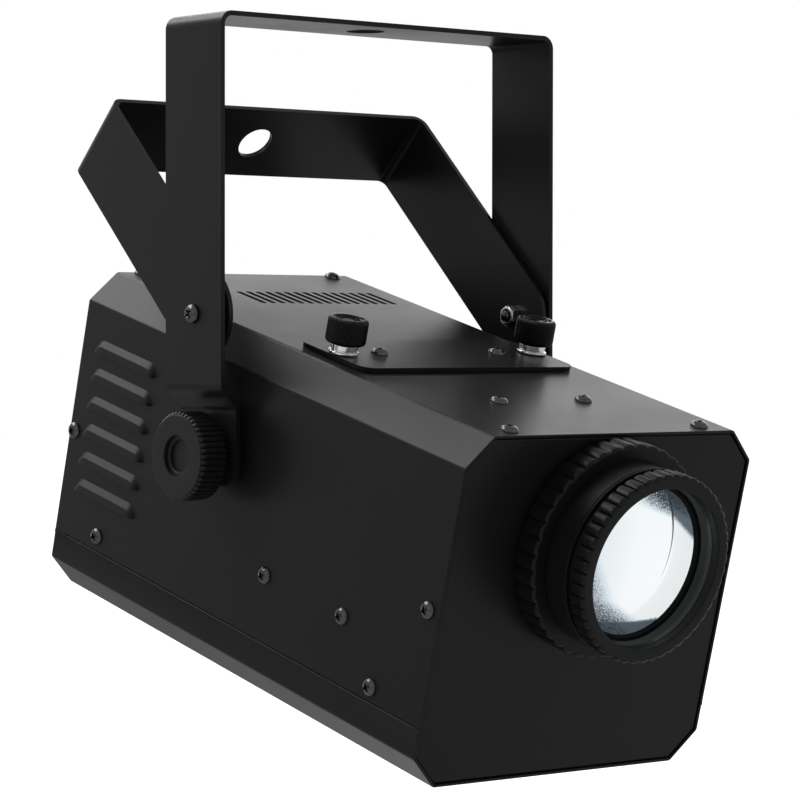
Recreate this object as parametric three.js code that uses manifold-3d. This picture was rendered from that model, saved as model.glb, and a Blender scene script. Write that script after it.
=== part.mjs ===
// Gobo projector in a folded steel housing, hung from a double yoke.
// Millimetres. X runs across, Y from nose to tail, Z up, and the nose points along -Y.
// The origin is the centre of the clamp hole, on the top face of the main yoke's crossbar.
import * as THREE from "three";
import { mergeVertices } from "three/addons/utils/BufferGeometryUtils.js";
import Module from "manifold-3d";

const wasm = await Module();
wasm.setup();

// Clearances
const gap = 0.3; // between pieces that seat or turn on each other
const overrun = 2; // how far a cut runs past the face it opens
const weldDistance = 0.0001;

// Housing: a folded box with its four long edges cut at 45 degrees
const cornerChamfer = 12.3;
const sheet = 1.2;
const knobToFront = 145.3;
const knobToTop = 49.8;
const seamToBottom = 24.6;
const seamGap = 0.4;
const lapHeight = 12;
const noseDownAngle = THREE.MathUtils.degToRad(14.8);

// End panels, each a pan whose rim carries the cover's screws
const panelSetback = 0.6;
const frontFlange = 12;
const rearFlange = 10.8;

// Pressed louvres on both sides
const louvreCount = 6;
const louvrePitch = 12.2;
const louvreToTop = 32;
const louvreToRear = 11.4;
const louvreLength = 43.1;
const louvreRise = 5.8;
const louvreBulge = 2.3;
const louvreSheet = 0.9;
const louvreCorner = 5;
const louvreKneeShares = { out: 0.82, up: 0.5 };

// Row of vent slots in the roof, off centre as on the product
const ventCount = 15;
const ventPitch = 5.1;
const ventWidth = 1.4;
const ventLength = 19.3;
const ventToRear = 32.7;
const ventRowOffset = 13.7;

// Gobo access plate and its two thumbscrews
const plateLength = 44;
const plateThickness = 1.8;
const plateCorner = 6;
const plateToFront = 87.7;
const plateToSide = 18.5;
const thumbToPlateEnd = 6.3;
const thumbToSlot = 12.7;
const thumbStudRadius = 2.4;
const thumbCollarRadius = 5.5;
const thumbCollarHeight = 3.6;
const thumbBaseRadius = 6.2;
const thumbBaseHeight = 1;
const thumbHeadRadius = 8.25;
const thumbHeadHeight = 10.6;
const thumbFluteCount = 24;
const thumbFluteDepth = 0.7;
const thumbRounding = 1.6;
const thumbDishRadius = 5.6;
const thumbDishDepth = 1.4;
const thumbSpigotRadius = 3;
const thumbSpigotHeight = 6;
const plateNutRadius = 5.2;
const plateNutHeight = 4;

// Gobo carrier, which hangs below the access plate, and the gate that guides it
const goboRadius = 25;
const goboThickness = 1.1;
const goboRim = 4;
const goboDotCount = 8;
const goboDotCircleShare = 0.5;
const goboDotShare = 0.256;
const tongueMargin = 4;
const carrierShoulder = 7.5;
const carrierPlay = 1;
const carrierSheet = 1.5;
const slotLength = 15;
const goboRingWire = 1.2;
const cupWall = 1.6;
const cupDepth = 3.4;
const gateWall = 6;
const gateDepth = 13;
const gateFloor = 5;
const gateLip = 2;

// Lens mount: barrel through the front panel, zoom ring, focus ring and hood
const barrelRadius = 37;
const barrelWall = 1.5;
const barrelWaist = 0.6;
const barrelFront = 23.3;
const barrelRear = 45;
const barrelToTop = 7.2;
const barrelLip = 1.3;
const barrelFlange = 3.5;
const barrelFlangeThickness = 2.5;
const zoomRingReach = 6;
const zoomRingFront = 11.35;
const zoomRingBack = 0.5;
const zoomHubReach = 3;
const zoomFluteCount = 40;
const zoomFluteDepth = 1;
const zoomChamfer = 0.5;
const focusRingReach = 0.6;
const focusRingLength = 7.7;
const focusRingToBarrel = 2.4;
const focusFluteCount = 48;
const focusFluteDepth = 0.9;
const focusChamfer = 0.4;
const hoodLedge = 3.4;
const spigotStep = 1.4;
const spigotWall = 2;
const sleeveRear = 4;

// Lens elements
const objectiveToSpigot = 1;
const objectiveEdge = 3;
const objectiveBulge = 4.4;
const objectiveToHood = 11.7;
const objectiveLip = 1.4;
const retainerThickness = 1.6;
const zoomCellWall = 3.9;
const zoomLensEdge = 2.5;
const zoomLensBulge = 3.2;
const zoomCellLength = 12;
const zoomCellToFront = 14;
const zoomCellLip = 2;

// Light engine
const benchToGobo = 21;
const benchToChamfer = 1.7;
const benchSheet = 1.5;
const benchFoot = 9;
const benchLead = 3.25;
const benchTail = 6.3;
const benchBend = 2.5;
const condenserRadius = 26.5;
const condenserEdge = 3;
const condenserBulge = 7.5;
const condenserHolderWall = 2.4;
const condenserHolderLength = 30;
const condenserToGate = 5.75;
const condenserFootWidth = 40;
const condenserLedge = 2;
const ledBoardSize = 42;
const ledBoardThickness = 1.6;
const ledEmitterRadius = 11;
const ledEmitterHeight = 1.4;
const heatsinkToCondenser = 11.7;
const heatsinkOverBench = 2;
const heatsinkToRoof = 0.7;
const heatsinkBase = 8;
const heatsinkFinLength = 34;
const heatsinkFinCount = 13;
const heatsinkFinThickness = 2;

// Fan behind the rear grille
const fanSize = 60;
const fanDepth = 20;
const fanWall = 2;
const fanToHeatsink = 25.95;
const fanHubRadius = 11.5;
const fanMotorDepth = 3;
const fanStrutWidth = 4;
const fanStrutCount = 4;
const fanShaftRadius = 1.5;
const fanBladeCount = 7;
const fanBladeThickness = 1.2;
const fanBladeChord = 12;
const fanBladeCamber = 1.8;
const fanBladePitch = THREE.MathUtils.degToRad(48);
const fanTipGap = 1.2;
const fanCorner = 4;
const grilleRingCount = 3;
const grilleBar = 2.2;
const grilleSpokeWidth = 4;

// Power supply under the bench, and the inlet in the rear panel
const boardToBenchSide = 10;
const boardLength = 96;
const boardThickness = 1.6;
const standoffRadius = 3;
const standoffHeight = 6;
const transformerWidth = 32;
const transformerLength = 30;
const transformerHeight = 25;
const transformerToBench = 12.7;
const capacitorRadius = 9;
const capacitorHeight = 24;
const inletWidth = 30;
const inletHeight = 22;
const inletDepth = 22;
const inletWall = 2.4;
const inletFlange = 3;
const inletFlangeThickness = 1.6;
const inletToSide = 24;
const inletToBottom = 18;
const inletPinWidth = 4;
const inletPinThickness = 2;
const inletPinSpacing = 14;
const fuseRadius = 6.5;
const fuseDepth = 26;
const fuseCapRadius = 8;
const fuseCapHeight = 3;
const fuseToSide = 36;

// Main yoke
const tabToHousing = 4.53;
const yokeStrip = 37.35;
const yokeThickness = 2;
const yokeBend = 3.5;
const crossbarToKnob = 177.1;
const joggleDepth = 7.5;
const joggleAboveKnob = 1.8;
const joggleBend = 3;
const tabBelowKnob = 12;
const tabCorner = 8;
const clampHoleRadius = 8;

// Second yoke, hinged to the main yoke's arms
const pivotToKnob = 56.9;
const innerYokeLength = 108.7;
const innerYokeStrip = 37.6;
const innerYokeHoleRadius = 8;
const yokeToYoke = 2;
const innerYokeAngle = THREE.MathUtils.degToRad(-45.25);

// Hinge bolts between the yokes
const pivotBoltRadius = 2.4;
const pivotHeadRadius = 4;
const pivotHeadHeight = 2.5;
const pivotHeadDome = 0.9;
const pivotWasherRadius = 7;
const pivotNutAcrossFlats = 8;
const pivotNutHeight = 4;
const pivotBoltEnd = 0.6;

// Tilt knobs and their studs
const studRadius = 3.9;
const spacerRadius = 11;
const knobWasherRadius = 9;
const knobWasherThickness = 1.2;
const knobStandOff = 3.5;
const knobHubRadius = 8;
const knobRadius = 17.9;
const knobThickness = 12.4;
const knobFluteCount = 46;
const knobFluteDepth = 0.9;
const knobChamfer = 1.3;
const knobRecessRadius = 8.3;
const knobRecessDepth = 1.6;
const knobInnerRecessRadius = 6.5;
const knobInnerRecessDepth = 3;
const knobBoreDepth = 8;
const clinchNutRadius = 7.5;
const clinchNutLength = 7;

// Facet counts
const fineSteps = 36;
const roundSteps = 24;
const smallSteps = 12;
const hiddenSteps = 16;
const bendSteps = 3;
const lensSteps = 4;
const hexSides = 6;
const zoomStepsPerFlute = 3;
const focusStepsPerFlute = 3;
const knobStepsPerFlute = 2;

// Widths, from the gobo outwards: tongue, flange, slot, thumbscrews, access plate, housing
const carrierTongueWidth = 2 * (goboRadius + tongueMargin);
const carrierFlangeWidth = carrierTongueWidth + 2 * carrierShoulder;
const carrierFlangeLength = slotLength - 2 * carrierPlay;
const slotWidth = carrierFlangeWidth + 2 * carrierPlay;
const thumbSpacing = slotWidth + 2 * thumbToSlot;
const plateWidth = thumbSpacing + 2 * thumbToPlateEnd;
const housingWidth = plateWidth + 2 * plateToSide;
const halfWidth = housingWidth / 2;
const benchWidth = 2 * (halfWidth - cornerChamfer - benchFoot - benchToChamfer);
const boardWidth = benchWidth - 2 * boardToBenchSide;
const heatsinkWidth = benchWidth + 2 * heatsinkOverBench;

// Radii of the lens, from the barrel inwards and outwards
const zoomRingRadius = barrelRadius + zoomRingReach;
const zoomHubRadius = barrelRadius + zoomHubReach;
const focusRingRadius = barrelRadius + focusRingReach;
const sleeveRadius = barrelRadius - barrelWall - gap;
const sleeveSpigotRadius = sleeveRadius - spigotStep;
const hoodBoreRadius = sleeveSpigotRadius - spigotWall;
const objectiveRadius = hoodBoreRadius - objectiveToSpigot;
const objectiveClearRadius = objectiveRadius - objectiveLip;
const zoomLensRadius = sleeveRadius - gap - zoomCellWall;
const focusRingBack = barrelFront + focusRingToBarrel;
const focusRingFront = focusRingBack + focusRingLength;
const fanBoreRadius = fanSize / 2 - fanWall;

// Heights, in the housing's own frame, whose origin is on the knobs' axis
const topZ = knobToTop;
const ceilingZ = topZ - sheet;
const lensZ = topZ - barrelRadius - barrelToTop;
const benchZ = lensZ - goboRadius - benchToGobo;
const supplyHeight = standoffHeight + gap + boardThickness + gap + transformerHeight;
const floorZ = benchZ - benchSheet - transformerToBench - supplyHeight;
const bottomZ = floorZ - sheet;
const seamZ = bottomZ + seamToBottom;

// Places along the housing, from nose to tail
const frontY = -knobToFront;
const plateY = frontY + plateToFront + plateLength / 2;
const tongueFace = plateY + carrierSheet / 2;
const cupFront = tongueFace - carrierSheet - cupDepth;
const gateMiddle = (cupFront + tongueFace) / 2;
const benchFront = gateMiddle - gateDepth / 2 - benchLead;
const condenserFront = gateMiddle + gateDepth / 2 + condenserToGate;
const heatsinkFace = condenserFront + condenserHolderLength + heatsinkToCondenser;
const heatsinkBack = heatsinkFace + heatsinkBase + heatsinkFinLength;
const benchBack = heatsinkBack + benchTail;
const fanFront = heatsinkBack + fanToHeatsink;
const fanBack = fanFront + fanDepth;
const rearInner = fanBack + gap;
const rearFace = rearInner + sheet;
const rearY = rearFace + panelSetback;
const boardFront = (benchFront + benchBack - boardLength) / 2;
const chamferShare = 2 - Math.SQRT2; // what a 45 degree cut loses when its faces move in
const turn = Math.PI * 2;
const quarterTurn = Math.PI / 2;

// Places across the housing, from the centre outwards
const tabInner = halfWidth + tabToHousing;
const tabOuter = tabInner + yokeThickness;
const yokeWidth = 2 * (tabOuter + joggleDepth);
const knobBack = tabOuter + knobStandOff;
const knobFace = knobBack + knobThickness;
const knobHubStart = tabOuter + gap + knobWasherThickness + gap;
const studHoleRadius = studRadius + gap;
const innerYokeWidth = yokeWidth - 2 * (yokeThickness + yokeToYoke);
const innerYokeFace = innerYokeWidth / 2 - yokeThickness;
const pivotHoleRadius = pivotBoltRadius + gap;

// A closed mesh as a solid that can be cut and joined, with its faces turned outwards
function solidOf(geometry) {
  const loose = geometry.index ? geometry.toNonIndexed() : geometry;
  const bare = new THREE.BufferGeometry();
  bare.setAttribute("position", loose.getAttribute("position"));
  const welded = mergeVertices(bare, weldDistance);
  const triangles = [];
  const index = welded.index.array;
  for (let i = 0; i < index.length; i += 3) {
    const [a, b, c] = [index[i], index[i + 1], index[i + 2]];
    if (a !== b && b !== c && c !== a) triangles.push(a, b, c);
  }
  const make = (order) =>
    new wasm.Manifold(
      new wasm.Mesh({
        numProp: 3,
        vertProperties: welded.attributes.position.array,
        triVerts: Uint32Array.from(order),
      }),
    );
  const solid = make(triangles);
  return solid.volume() > 0 ? solid : make(triangles.reverse());
}

function geometryOf(solid) {
  const mesh = solid.getMesh();
  const geometry = new THREE.BufferGeometry();
  geometry.setAttribute("position", new THREE.BufferAttribute(mesh.vertProperties, 3));
  geometry.setIndex(new THREE.BufferAttribute(mesh.triVerts, 1));
  geometry.computeVertexNormals();
  return geometry;
}

const join = (first, ...rest) => rest.reduce((sum, solid) => sum.add(solid), first);
const cut = (first, ...rest) => rest.reduce((left, solid) => left.subtract(solid), first);

function outlineOf(points) {
  return new THREE.Shape(points.map(([x, y]) => new THREE.Vector2(x, y)));
}

// Rectangle with each corner rounded by its own radius, counted from the lower left
function roundedOutline(left, bottom, right, top, radii, steps = bendSteps) {
  const corners = [
    [left, bottom, radii[0], 2],
    [right, bottom, radii[1], 3],
    [right, top, radii[2], 0],
    [left, top, radii[3], 1],
  ];
  const points = [];
  for (const [x, y, radius, quarter] of corners) {
    const centreX = x === left ? x + radius : x - radius;
    const centreY = y === bottom ? y + radius : y - radius;
    const count = radius > 0 ? steps : 0;
    for (let i = 0; i <= count; i++) {
      const angle = quarterTurn * (quarter + (count ? i / count : 0));
      points.push([centreX + radius * Math.cos(angle), centreY + radius * Math.sin(angle)]);
    }
  }
  return points;
}

function extruded(points, depth) {
  return new THREE.ExtrudeGeometry(outlineOf(points), { depth, bevelEnabled: false, steps: 1 });
}

// Outline in X and Z, run along Y from one place to another
function prismAlongY(points, from, to) {
  return solidOf(extruded(points, to - from).rotateX(quarterTurn).translate(0, to, 0));
}

// Outline in Y and Z, run along X
function prismAlongX(points, from, to) {
  const axes = new THREE.Matrix4().makeBasis(
    new THREE.Vector3(0, 1, 0),
    new THREE.Vector3(0, 0, 1),
    new THREE.Vector3(1, 0, 0),
  );
  return solidOf(extruded(points, to - from).applyMatrix4(axes).translate(from, 0, 0));
}

// Outline in X and Y, run along Z
function prismAlongZ(points, from, to) {
  return solidOf(extruded(points, to - from).translate(0, 0, from));
}

function box(x0, x1, y0, y1, z0, z1) {
  const geometry = new THREE.BoxGeometry(x1 - x0, y1 - y0, z1 - z0);
  return solidOf(geometry.translate((x0 + x1) / 2, (y0 + y1) / 2, (z0 + z1) / 2));
}

// Profile of [radius, place] points turned about Y, closed on itself or on the axis
function latheGeometry(profile, steps) {
  const points = profile.map(([radius, place]) => new THREE.Vector2(radius, place));
  const closed = profile[0][0] > 0;
  return new THREE.LatheGeometry(closed ? [...points, points[0]] : points, steps);
}

const turned = (profile, steps = roundSteps) => solidOf(latheGeometry(profile, steps));

function rod(radius, from, to, steps = smallSteps) {
  return turned([[0, from], [radius, from], [radius, to], [0, to]], steps);
}

function tube(outer, inner, from, to, steps = roundSteps) {
  return turned([[inner, from], [outer, from], [outer, to], [inner, to]], steps);
}

// The same turned forms with their axis along X, to the right (1) or to the left (-1)
const turnedAlongX = (profile, side, steps) =>
  solidOf(latheGeometry(profile, steps).rotateZ(-quarterTurn * side));

function rodAlongX(radius, from, to, side, steps = smallSteps) {
  return turnedAlongX([[0, from], [radius, from], [radius, to], [0, to]], side, steps);
}

// The same turned forms with their axis along Z
const turnedAlongZ = (profile, steps = smallSteps) =>
  solidOf(latheGeometry(profile, steps).rotateX(quarterTurn));

function rodAlongZ(radius, from, to, steps = smallSteps) {
  return turnedAlongZ([[0, from], [radius, from], [radius, to], [0, to]], steps);
}

function moved(solid, x, y, z) {
  return solidOf(geometryOf(solid).translate(x, y, z));
}

// A round body with bumps round its rim. Each station is [place, ridge radius, flute depth],
// and the ends are closed by fans.
function flutedGeometry(stations, count, stepsPerFlute) {
  const perRing = count * stepsPerFlute;
  const positions = [];
  for (const [place, radius, depth] of stations) {
    for (let i = 0; i < perRing; i++) {
      const bump = Math.sin((Math.PI * (i % stepsPerFlute)) / stepsPerFlute);
      const r = radius - depth * (1 - bump);
      const angle = (turn * i) / perRing;
      positions.push(r * Math.cos(angle), place, r * Math.sin(angle));
    }
  }
  const last = stations.length - 1;
  positions.push(0, stations[0][0], 0, 0, stations[last][0], 0);
  const firstCentre = perRing * stations.length;
  const index = [];
  for (let i = 0; i < perRing; i++) {
    const next = (i + 1) % perRing;
    for (let j = 0; j < last; j++) {
      const [a, b] = [j * perRing + i, j * perRing + next];
      index.push(a, a + perRing, b, b, a + perRing, b + perRing);
    }
    index.push(firstCentre, i, next);
    index.push(firstCentre + 1, last * perRing + next, last * perRing + i);
  }
  const geometry = new THREE.BufferGeometry();
  geometry.setAttribute("position", new THREE.Float32BufferAttribute(positions, 3));
  geometry.setIndex(index);
  return geometry;
}

// Outline of a bent strip: its centre line runs through the corners, which are [x, y, inner radius]
function stripOutline(corners, thickness) {
  const centre = [];
  const direction = (from, to) => to.clone().sub(from).normalize();
  const points = corners.map(([x, y]) => new THREE.Vector2(x, y));
  points.forEach((corner, i) => {
    const before = i > 0 ? direction(points[i - 1], corner) : null;
    const after = i < points.length - 1 ? direction(corner, points[i + 1]) : null;
    if (!before || !after) {
      const along = before || after;
      centre.push([corner, new THREE.Vector2(-along.y, along.x)]);
      return;
    }
    const radius = corners[i][2] + thickness / 2;
    const bend = Math.atan2(before.cross(after), before.dot(after));
    const setback = radius * Math.tan(Math.abs(bend) / 2);
    const start = corner.clone().addScaledVector(before, -setback);
    const normal = new THREE.Vector2(-before.y, before.x).multiplyScalar(Math.sign(bend));
    const middle = start.clone().addScaledVector(normal, radius);
    for (let step = 0; step <= bendSteps; step++) {
      const arm = start.clone().rotateAround(middle, (bend * step) / bendSteps);
      const out = middle.clone().sub(arm).normalize().multiplyScalar(Math.sign(bend));
      centre.push([arm, out]);
    }
  });
  const side = (sign) =>
    centre.map(([point, out]) => point.clone().addScaledVector(out, (sign * thickness) / 2));
  return [...side(1), ...side(-1).reverse()].map((point) => [point.x, point.y]);
}

// Spherical cap of a lens as [radius, place] points from the axis to the rim
function capProfile(radius, place, bulge) {
  const sphere = (radius * radius + bulge * bulge) / (2 * Math.abs(bulge));
  const half = Math.asin(radius / sphere);
  const points = [];
  for (let i = 0; i <= lensSteps; i++) {
    const angle = (half * i) / lensSteps;
    const sag = sphere * (1 - Math.cos(angle));
    points.push([sphere * Math.sin(angle), place + Math.sign(bulge) * (Math.abs(bulge) - sag)]);
  }
  points[lensSteps][0] = radius;
  return points;
}

// Lens with a flat rim between two places along Y, and caps that bulge past them inside the rim
function lensSolid(rim, clear, [from, to], [lowBulge, highBulge], steps = roundSteps) {
  const low = lowBulge ? capProfile(clear, from, -lowBulge) : [[0, from]];
  const high = highBulge ? capProfile(clear, to, highBulge) : [[0, to]];
  return turned([...low, [rim, from], [rim, to], ...high.reverse()], steps);
}

// Points of the housing's section, moved in from its outside face: half of it, from top to bottom
function sectionHalf(inset) {
  const cutLeg = cornerChamfer - inset * chamferShare;
  const [x, top, bottom] = [halfWidth - inset, topZ - inset, bottomZ + inset];
  return [[x - cutLeg, top], [x, top - cutLeg], [x, bottom + cutLeg], [x - cutLeg, bottom]];
}

const mirrored = (points) => points.map(([x, z]) => [-x, z]).reverse();

function octagon(inset) {
  const right = sectionHalf(inset);
  return [...right, ...mirrored(right)];
}

// Cover: roof, upper corners and sides down to the seam
function coverOutline() {
  const [outer, inner] = [sectionHalf(0), sectionHalf(sheet)];
  const outside = [[halfWidth, seamZ], outer[1], outer[0]];
  const inside = [inner[0], inner[1], [halfWidth - sheet, seamZ]];
  return [...outside, ...mirrored(outside), ...mirrored(inside), ...inside];
}

// One louvre, as the outside of its hood or as the hollow inside it
function louvreSolid(side, lowerZ, inset) {
  const wall = halfWidth;
  const inner = wall - sheet;
  const bulge = louvreBulge - inset;
  const upperZ = lowerZ + louvreRise - inset;
  const kneeZ = lowerZ + louvreRise * louvreKneeShares.up - inset;
  const start = rearY - louvreToRear - louvreLength + inset;
  const end = rearY - louvreToRear - inset;
  const corner = louvreCorner - inset;
  const hollow = inset > 0;
  const past = lowerZ - overrun;
  const foot = hollow
    ? [[inner - overrun, lowerZ], [wall, lowerZ], [wall, past], [wall + bulge, past]]
    : [[inner, lowerZ]];
  const profile = [
    ...foot,
    [wall + bulge, lowerZ],
    [wall + bulge * louvreKneeShares.out, kneeZ],
    [wall, upperZ],
    [hollow ? inner - overrun : inner, upperZ],
  ].map(([x, z]) => [side * x, z]);
  const low = hollow ? past : lowerZ;
  const elevation = roundedOutline(start, low, end, upperZ, [0, 0, corner, corner]);
  const reach = wall + louvreBulge + overrun;
  return prismAlongY(profile, start, end).intersect(prismAlongX(elevation, -reach, reach));
}

function topCover() {
  let cover = prismAlongY(coverOutline(), frontY, rearY);
  for (const side of [-1, 1]) {
    for (let i = 0; i < louvreCount; i++) {
      const lowerZ = topZ - louvreToTop - i * louvrePitch;
      cover = cut(cover.add(louvreSolid(side, lowerZ, 0)), louvreSolid(side, lowerZ, louvreSheet));
    }
  }
  for (let i = 0; i < ventCount; i++) {
    const x = ventRowOffset + (i - (ventCount - 1) / 2) * ventPitch;
    const [y0, y1] = [rearY - ventToRear - ventLength, rearY - ventToRear];
    const end = ventWidth / 2;
    const points = [
      [x, y0], [x + end, y0 + end], [x + end, y1 - end],
      [x, y1], [x - end, y1 - end], [x - end, y0 + end],
    ];
    cover = cut(cover, prismAlongZ(points, ceilingZ - overrun, topZ + overrun));
  }
  const opening = roundedOutline(
    -slotWidth / 2, plateY - slotLength / 2, slotWidth / 2, plateY + slotLength / 2, [0, 0, 0, 0],
  );
  cover = cut(cover, prismAlongZ(opening, ceilingZ - overrun, topZ + overrun));
  for (const side of [-1, 1]) {
    const hole = rodAlongZ(thumbStudRadius + gap, ceilingZ - overrun, topZ + overrun);
    cover = cut(cover, moved(hole, (side * thumbSpacing) / 2, plateY, 0));
    cover = cut(cover, rodAlongX(studHoleRadius, halfWidth - sheet - overrun, halfWidth + overrun, side));
  }
  return cover;
}

// Tray: floor, lower corners and sides up to the seam, with a lap behind the cover's edge
function bottomTray() {
  const [outer, inner] = [sectionHalf(0), sectionHalf(sheet)];
  const edgeZ = seamZ - seamGap;
  const outside = [[halfWidth, edgeZ], outer[2], outer[3]];
  const inside = [inner[3], inner[2], [halfWidth - sheet, edgeZ]];
  const skin = [...outside, ...mirrored(outside), ...mirrored(inside), ...inside];
  let tray = prismAlongY(skin, frontY, rearY);
  const lapOuter = halfWidth - sheet - gap;
  const lapInner = lapOuter - sheet;
  const [footTop, lapTop] = [edgeZ - gap, seamZ + lapHeight];
  const root = halfWidth - sheet / 2;
  const lap = [
    [lapOuter, lapTop], [lapOuter, footTop], [root, footTop],
    [root, footTop - sheet], [lapInner, footTop - sheet], [lapInner, lapTop],
  ];
  const [start, end] = [frontY + frontFlange + gap, rearY - rearFlange - gap];
  tray = join(tray, prismAlongY(lap, start, end), prismAlongY(mirrored(lap), start, end));
  for (const [x, y] of boardCorners()) {
    const stand = rodAlongZ(standoffRadius, floorZ - sheet / 2, floorZ + standoffHeight, smallSteps / 2);
    tray = tray.add(moved(stand, x, y, 0));
  }
  return tray;
}

// A pan: its face near one end of the housing, its rim folded inwards
function panelPan(faceOuter, faceInner, rimEnd) {
  const outlineInset = sheet + gap;
  const [low, high] = [Math.min(faceOuter, rimEnd), Math.max(faceOuter, rimEnd)];
  const block = prismAlongY(octagon(outlineInset), low, high);
  const past = rimEnd + Math.sign(rimEnd - faceInner) * overrun;
  const [from, to] = [Math.min(faceInner, past), Math.max(faceInner, past)];
  return cut(block, prismAlongY(octagon(outlineInset + sheet), from, to));
}

function frontPanel() {
  const face = frontY + panelSetback;
  const pan = panelPan(face, face + sheet, frontY + frontFlange);
  const hole = rod(barrelRadius + gap, face - overrun, face + sheet + overrun, fineSteps);
  return cut(pan, moved(hole, 0, 0, lensZ));
}

// Ring-shaped slots of the fan grille, broken by spokes
function grilleCuts(from, to) {
  const pitch = (fanBoreRadius - fanHubRadius) / grilleRingCount;
  const spoke = grilleSpokeWidth / 2;
  const reach = fanBoreRadius + overrun;
  const spokes = join(
    box(-reach, reach, from - overrun, to + overrun, -spoke, spoke),
    box(-spoke, spoke, from - overrun, to + overrun, -reach, reach),
  );
  let rings = tube(fanBoreRadius, fanBoreRadius - pitch + grilleBar, from, to);
  for (let i = 1; i < grilleRingCount; i++) {
    const outer = fanBoreRadius - i * pitch;
    rings = rings.add(tube(outer, outer - pitch + grilleBar, from, to));
  }
  return moved(cut(rings, spokes), 0, 0, lensZ);
}

const inletX = -halfWidth + inletToSide + inletWidth / 2 + inletFlange;
const inletZ = bottomZ + inletToBottom + inletHeight / 2 + inletFlange;
const fuseX = halfWidth - fuseToSide - fuseCapRadius;

function rearPanel() {
  const pan = panelPan(rearFace, rearInner, rearY - rearFlange);
  const [w, h] = [inletWidth / 2 + gap, inletHeight / 2 + gap];
  const past = [rearInner - overrun, rearFace + overrun];
  return cut(
    pan,
    grilleCuts(...past),
    box(inletX - w, inletX + w, ...past, inletZ - h, inletZ + h),
    moved(rod(fuseRadius + gap, ...past), fuseX, 0, inletZ),
  );
}

// Access plate and everything that lifts out with it
const plateBottom = topZ + gap;
const plateTop = plateBottom + plateThickness;

function accessPlate() {
  const outline = roundedOutline(
    -plateWidth / 2, plateY - plateLength / 2, plateWidth / 2, plateY + plateLength / 2,
    [plateCorner, plateCorner, plateCorner, plateCorner],
  );
  let plate = prismAlongZ(outline, plateBottom, plateTop);
  for (const side of [-1, 1]) {
    const hole = rodAlongZ(thumbStudRadius + gap, plateBottom - overrun, plateTop + overrun);
    plate = cut(plate, moved(hole, (side * thumbSpacing) / 2, plateY, 0));
  }
  return plate;
}

const flangeTop = plateBottom - gap;
const flangeBottom = flangeTop - carrierSheet;
const carrierBottom = lensZ - goboRadius - cupWall - gap;
const goboImageRadius = goboRadius - goboRim;

function goboCarrier() {
  const [fw, fl, tw] = [carrierFlangeWidth / 2, carrierFlangeLength / 2, carrierTongueWidth / 2];
  const cupRadius = goboRadius + gap + cupWall;
  const flange = box(-fw, fw, plateY - fl, plateY + fl, flangeBottom, flangeTop);
  const tongue = prismAlongY(
    roundedOutline(-tw, carrierBottom, tw, flangeTop - carrierSheet / 2, [cupWall * 2, cupWall * 2, 0, 0]),
    tongueFace - carrierSheet, tongueFace,
  );
  const cup = moved(
    tube(cupRadius, goboRadius + gap, cupFront, tongueFace - carrierSheet / 2, hiddenSteps), 0, 0, lensZ,
  );
  const aperture = moved(rod(goboImageRadius, cupFront, tongueFace + overrun, hiddenSteps), 0, 0, lensZ);
  return cut(join(flange, tongue, cup), aperture);
}

const goboBack = tongueFace - carrierSheet - gap;

function goboDisc() {
  let disc = rod(goboRadius, goboBack - goboThickness, goboBack, hiddenSteps);
  const circle = goboRadius * goboDotCircleShare;
  for (let i = 0; i < goboDotCount; i++) {
    const angle = (turn * i) / goboDotCount;
    const hole = rod(circle * goboDotShare, goboBack - goboThickness - overrun, goboBack + overrun, hexSides);
    const [x, z] = [circle * Math.cos(angle), circle * Math.sin(angle)];
    disc = cut(disc, moved(hole, x, 0, z));
  }
  return moved(disc, 0, 0, lensZ);
}

function goboRing() {
  const back = goboBack - goboThickness - gap;
  const inner = goboRadius - goboRingWire;
  return moved(tube(goboRadius, inner, back - goboRingWire, back, hiddenSteps), 0, 0, lensZ);
}

// Thumbscrew: plated collar with its stud, and a fluted head pressed on the collar's spigot
const thumbBaseZ = plateTop + gap;
const thumbHeadZ = thumbBaseZ + thumbCollarHeight + gap;
const thumbStudEnd = ceilingZ - gap - plateNutHeight - thumbBaseHeight;

function thumbscrewCollar() {
  const collarTop = thumbBaseZ + thumbCollarHeight;
  return turnedAlongZ([
    [0, thumbStudEnd],
    [thumbStudRadius, thumbStudEnd],
    [thumbStudRadius, thumbBaseZ],
    [thumbBaseRadius, thumbBaseZ],
    [thumbBaseRadius, thumbBaseZ + thumbBaseHeight],
    [thumbCollarRadius, thumbBaseZ + thumbBaseHeight],
    [thumbCollarRadius, collarTop],
    [thumbSpigotRadius, collarTop],
    [thumbSpigotRadius, collarTop + thumbSpigotHeight],
    [0, collarTop + thumbSpigotHeight],
  ]);
}

function thumbscrewHead() {
  const [low, high] = [thumbHeadZ, thumbHeadZ + thumbHeadHeight];
  const r = thumbHeadRadius;
  const round = thumbRounding;
  const stations = [
    [low, r - round, 0],
    [low + round, r, thumbFluteDepth],
    [high - round, r, thumbFluteDepth],
    [high, r - round, 0],
  ];
  const body = solidOf(flutedGeometry(stations, thumbFluteCount, knobStepsPerFlute).rotateX(quarterTurn));
  const dish = rodAlongZ(thumbDishRadius, high - thumbDishDepth, high + overrun);
  const bore = rodAlongZ(thumbSpigotRadius + gap, low - overrun, low + thumbSpigotHeight + gap);
  return cut(body, dish, bore);
}

function plateNut() {
  const [low, high] = [ceilingZ - gap - plateNutHeight, ceilingZ - gap];
  const bore = rodAlongZ(thumbStudRadius + gap, low - overrun, high + overrun);
  return cut(rodAlongZ(plateNutRadius, low, high, hexSides), bore);
}

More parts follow.
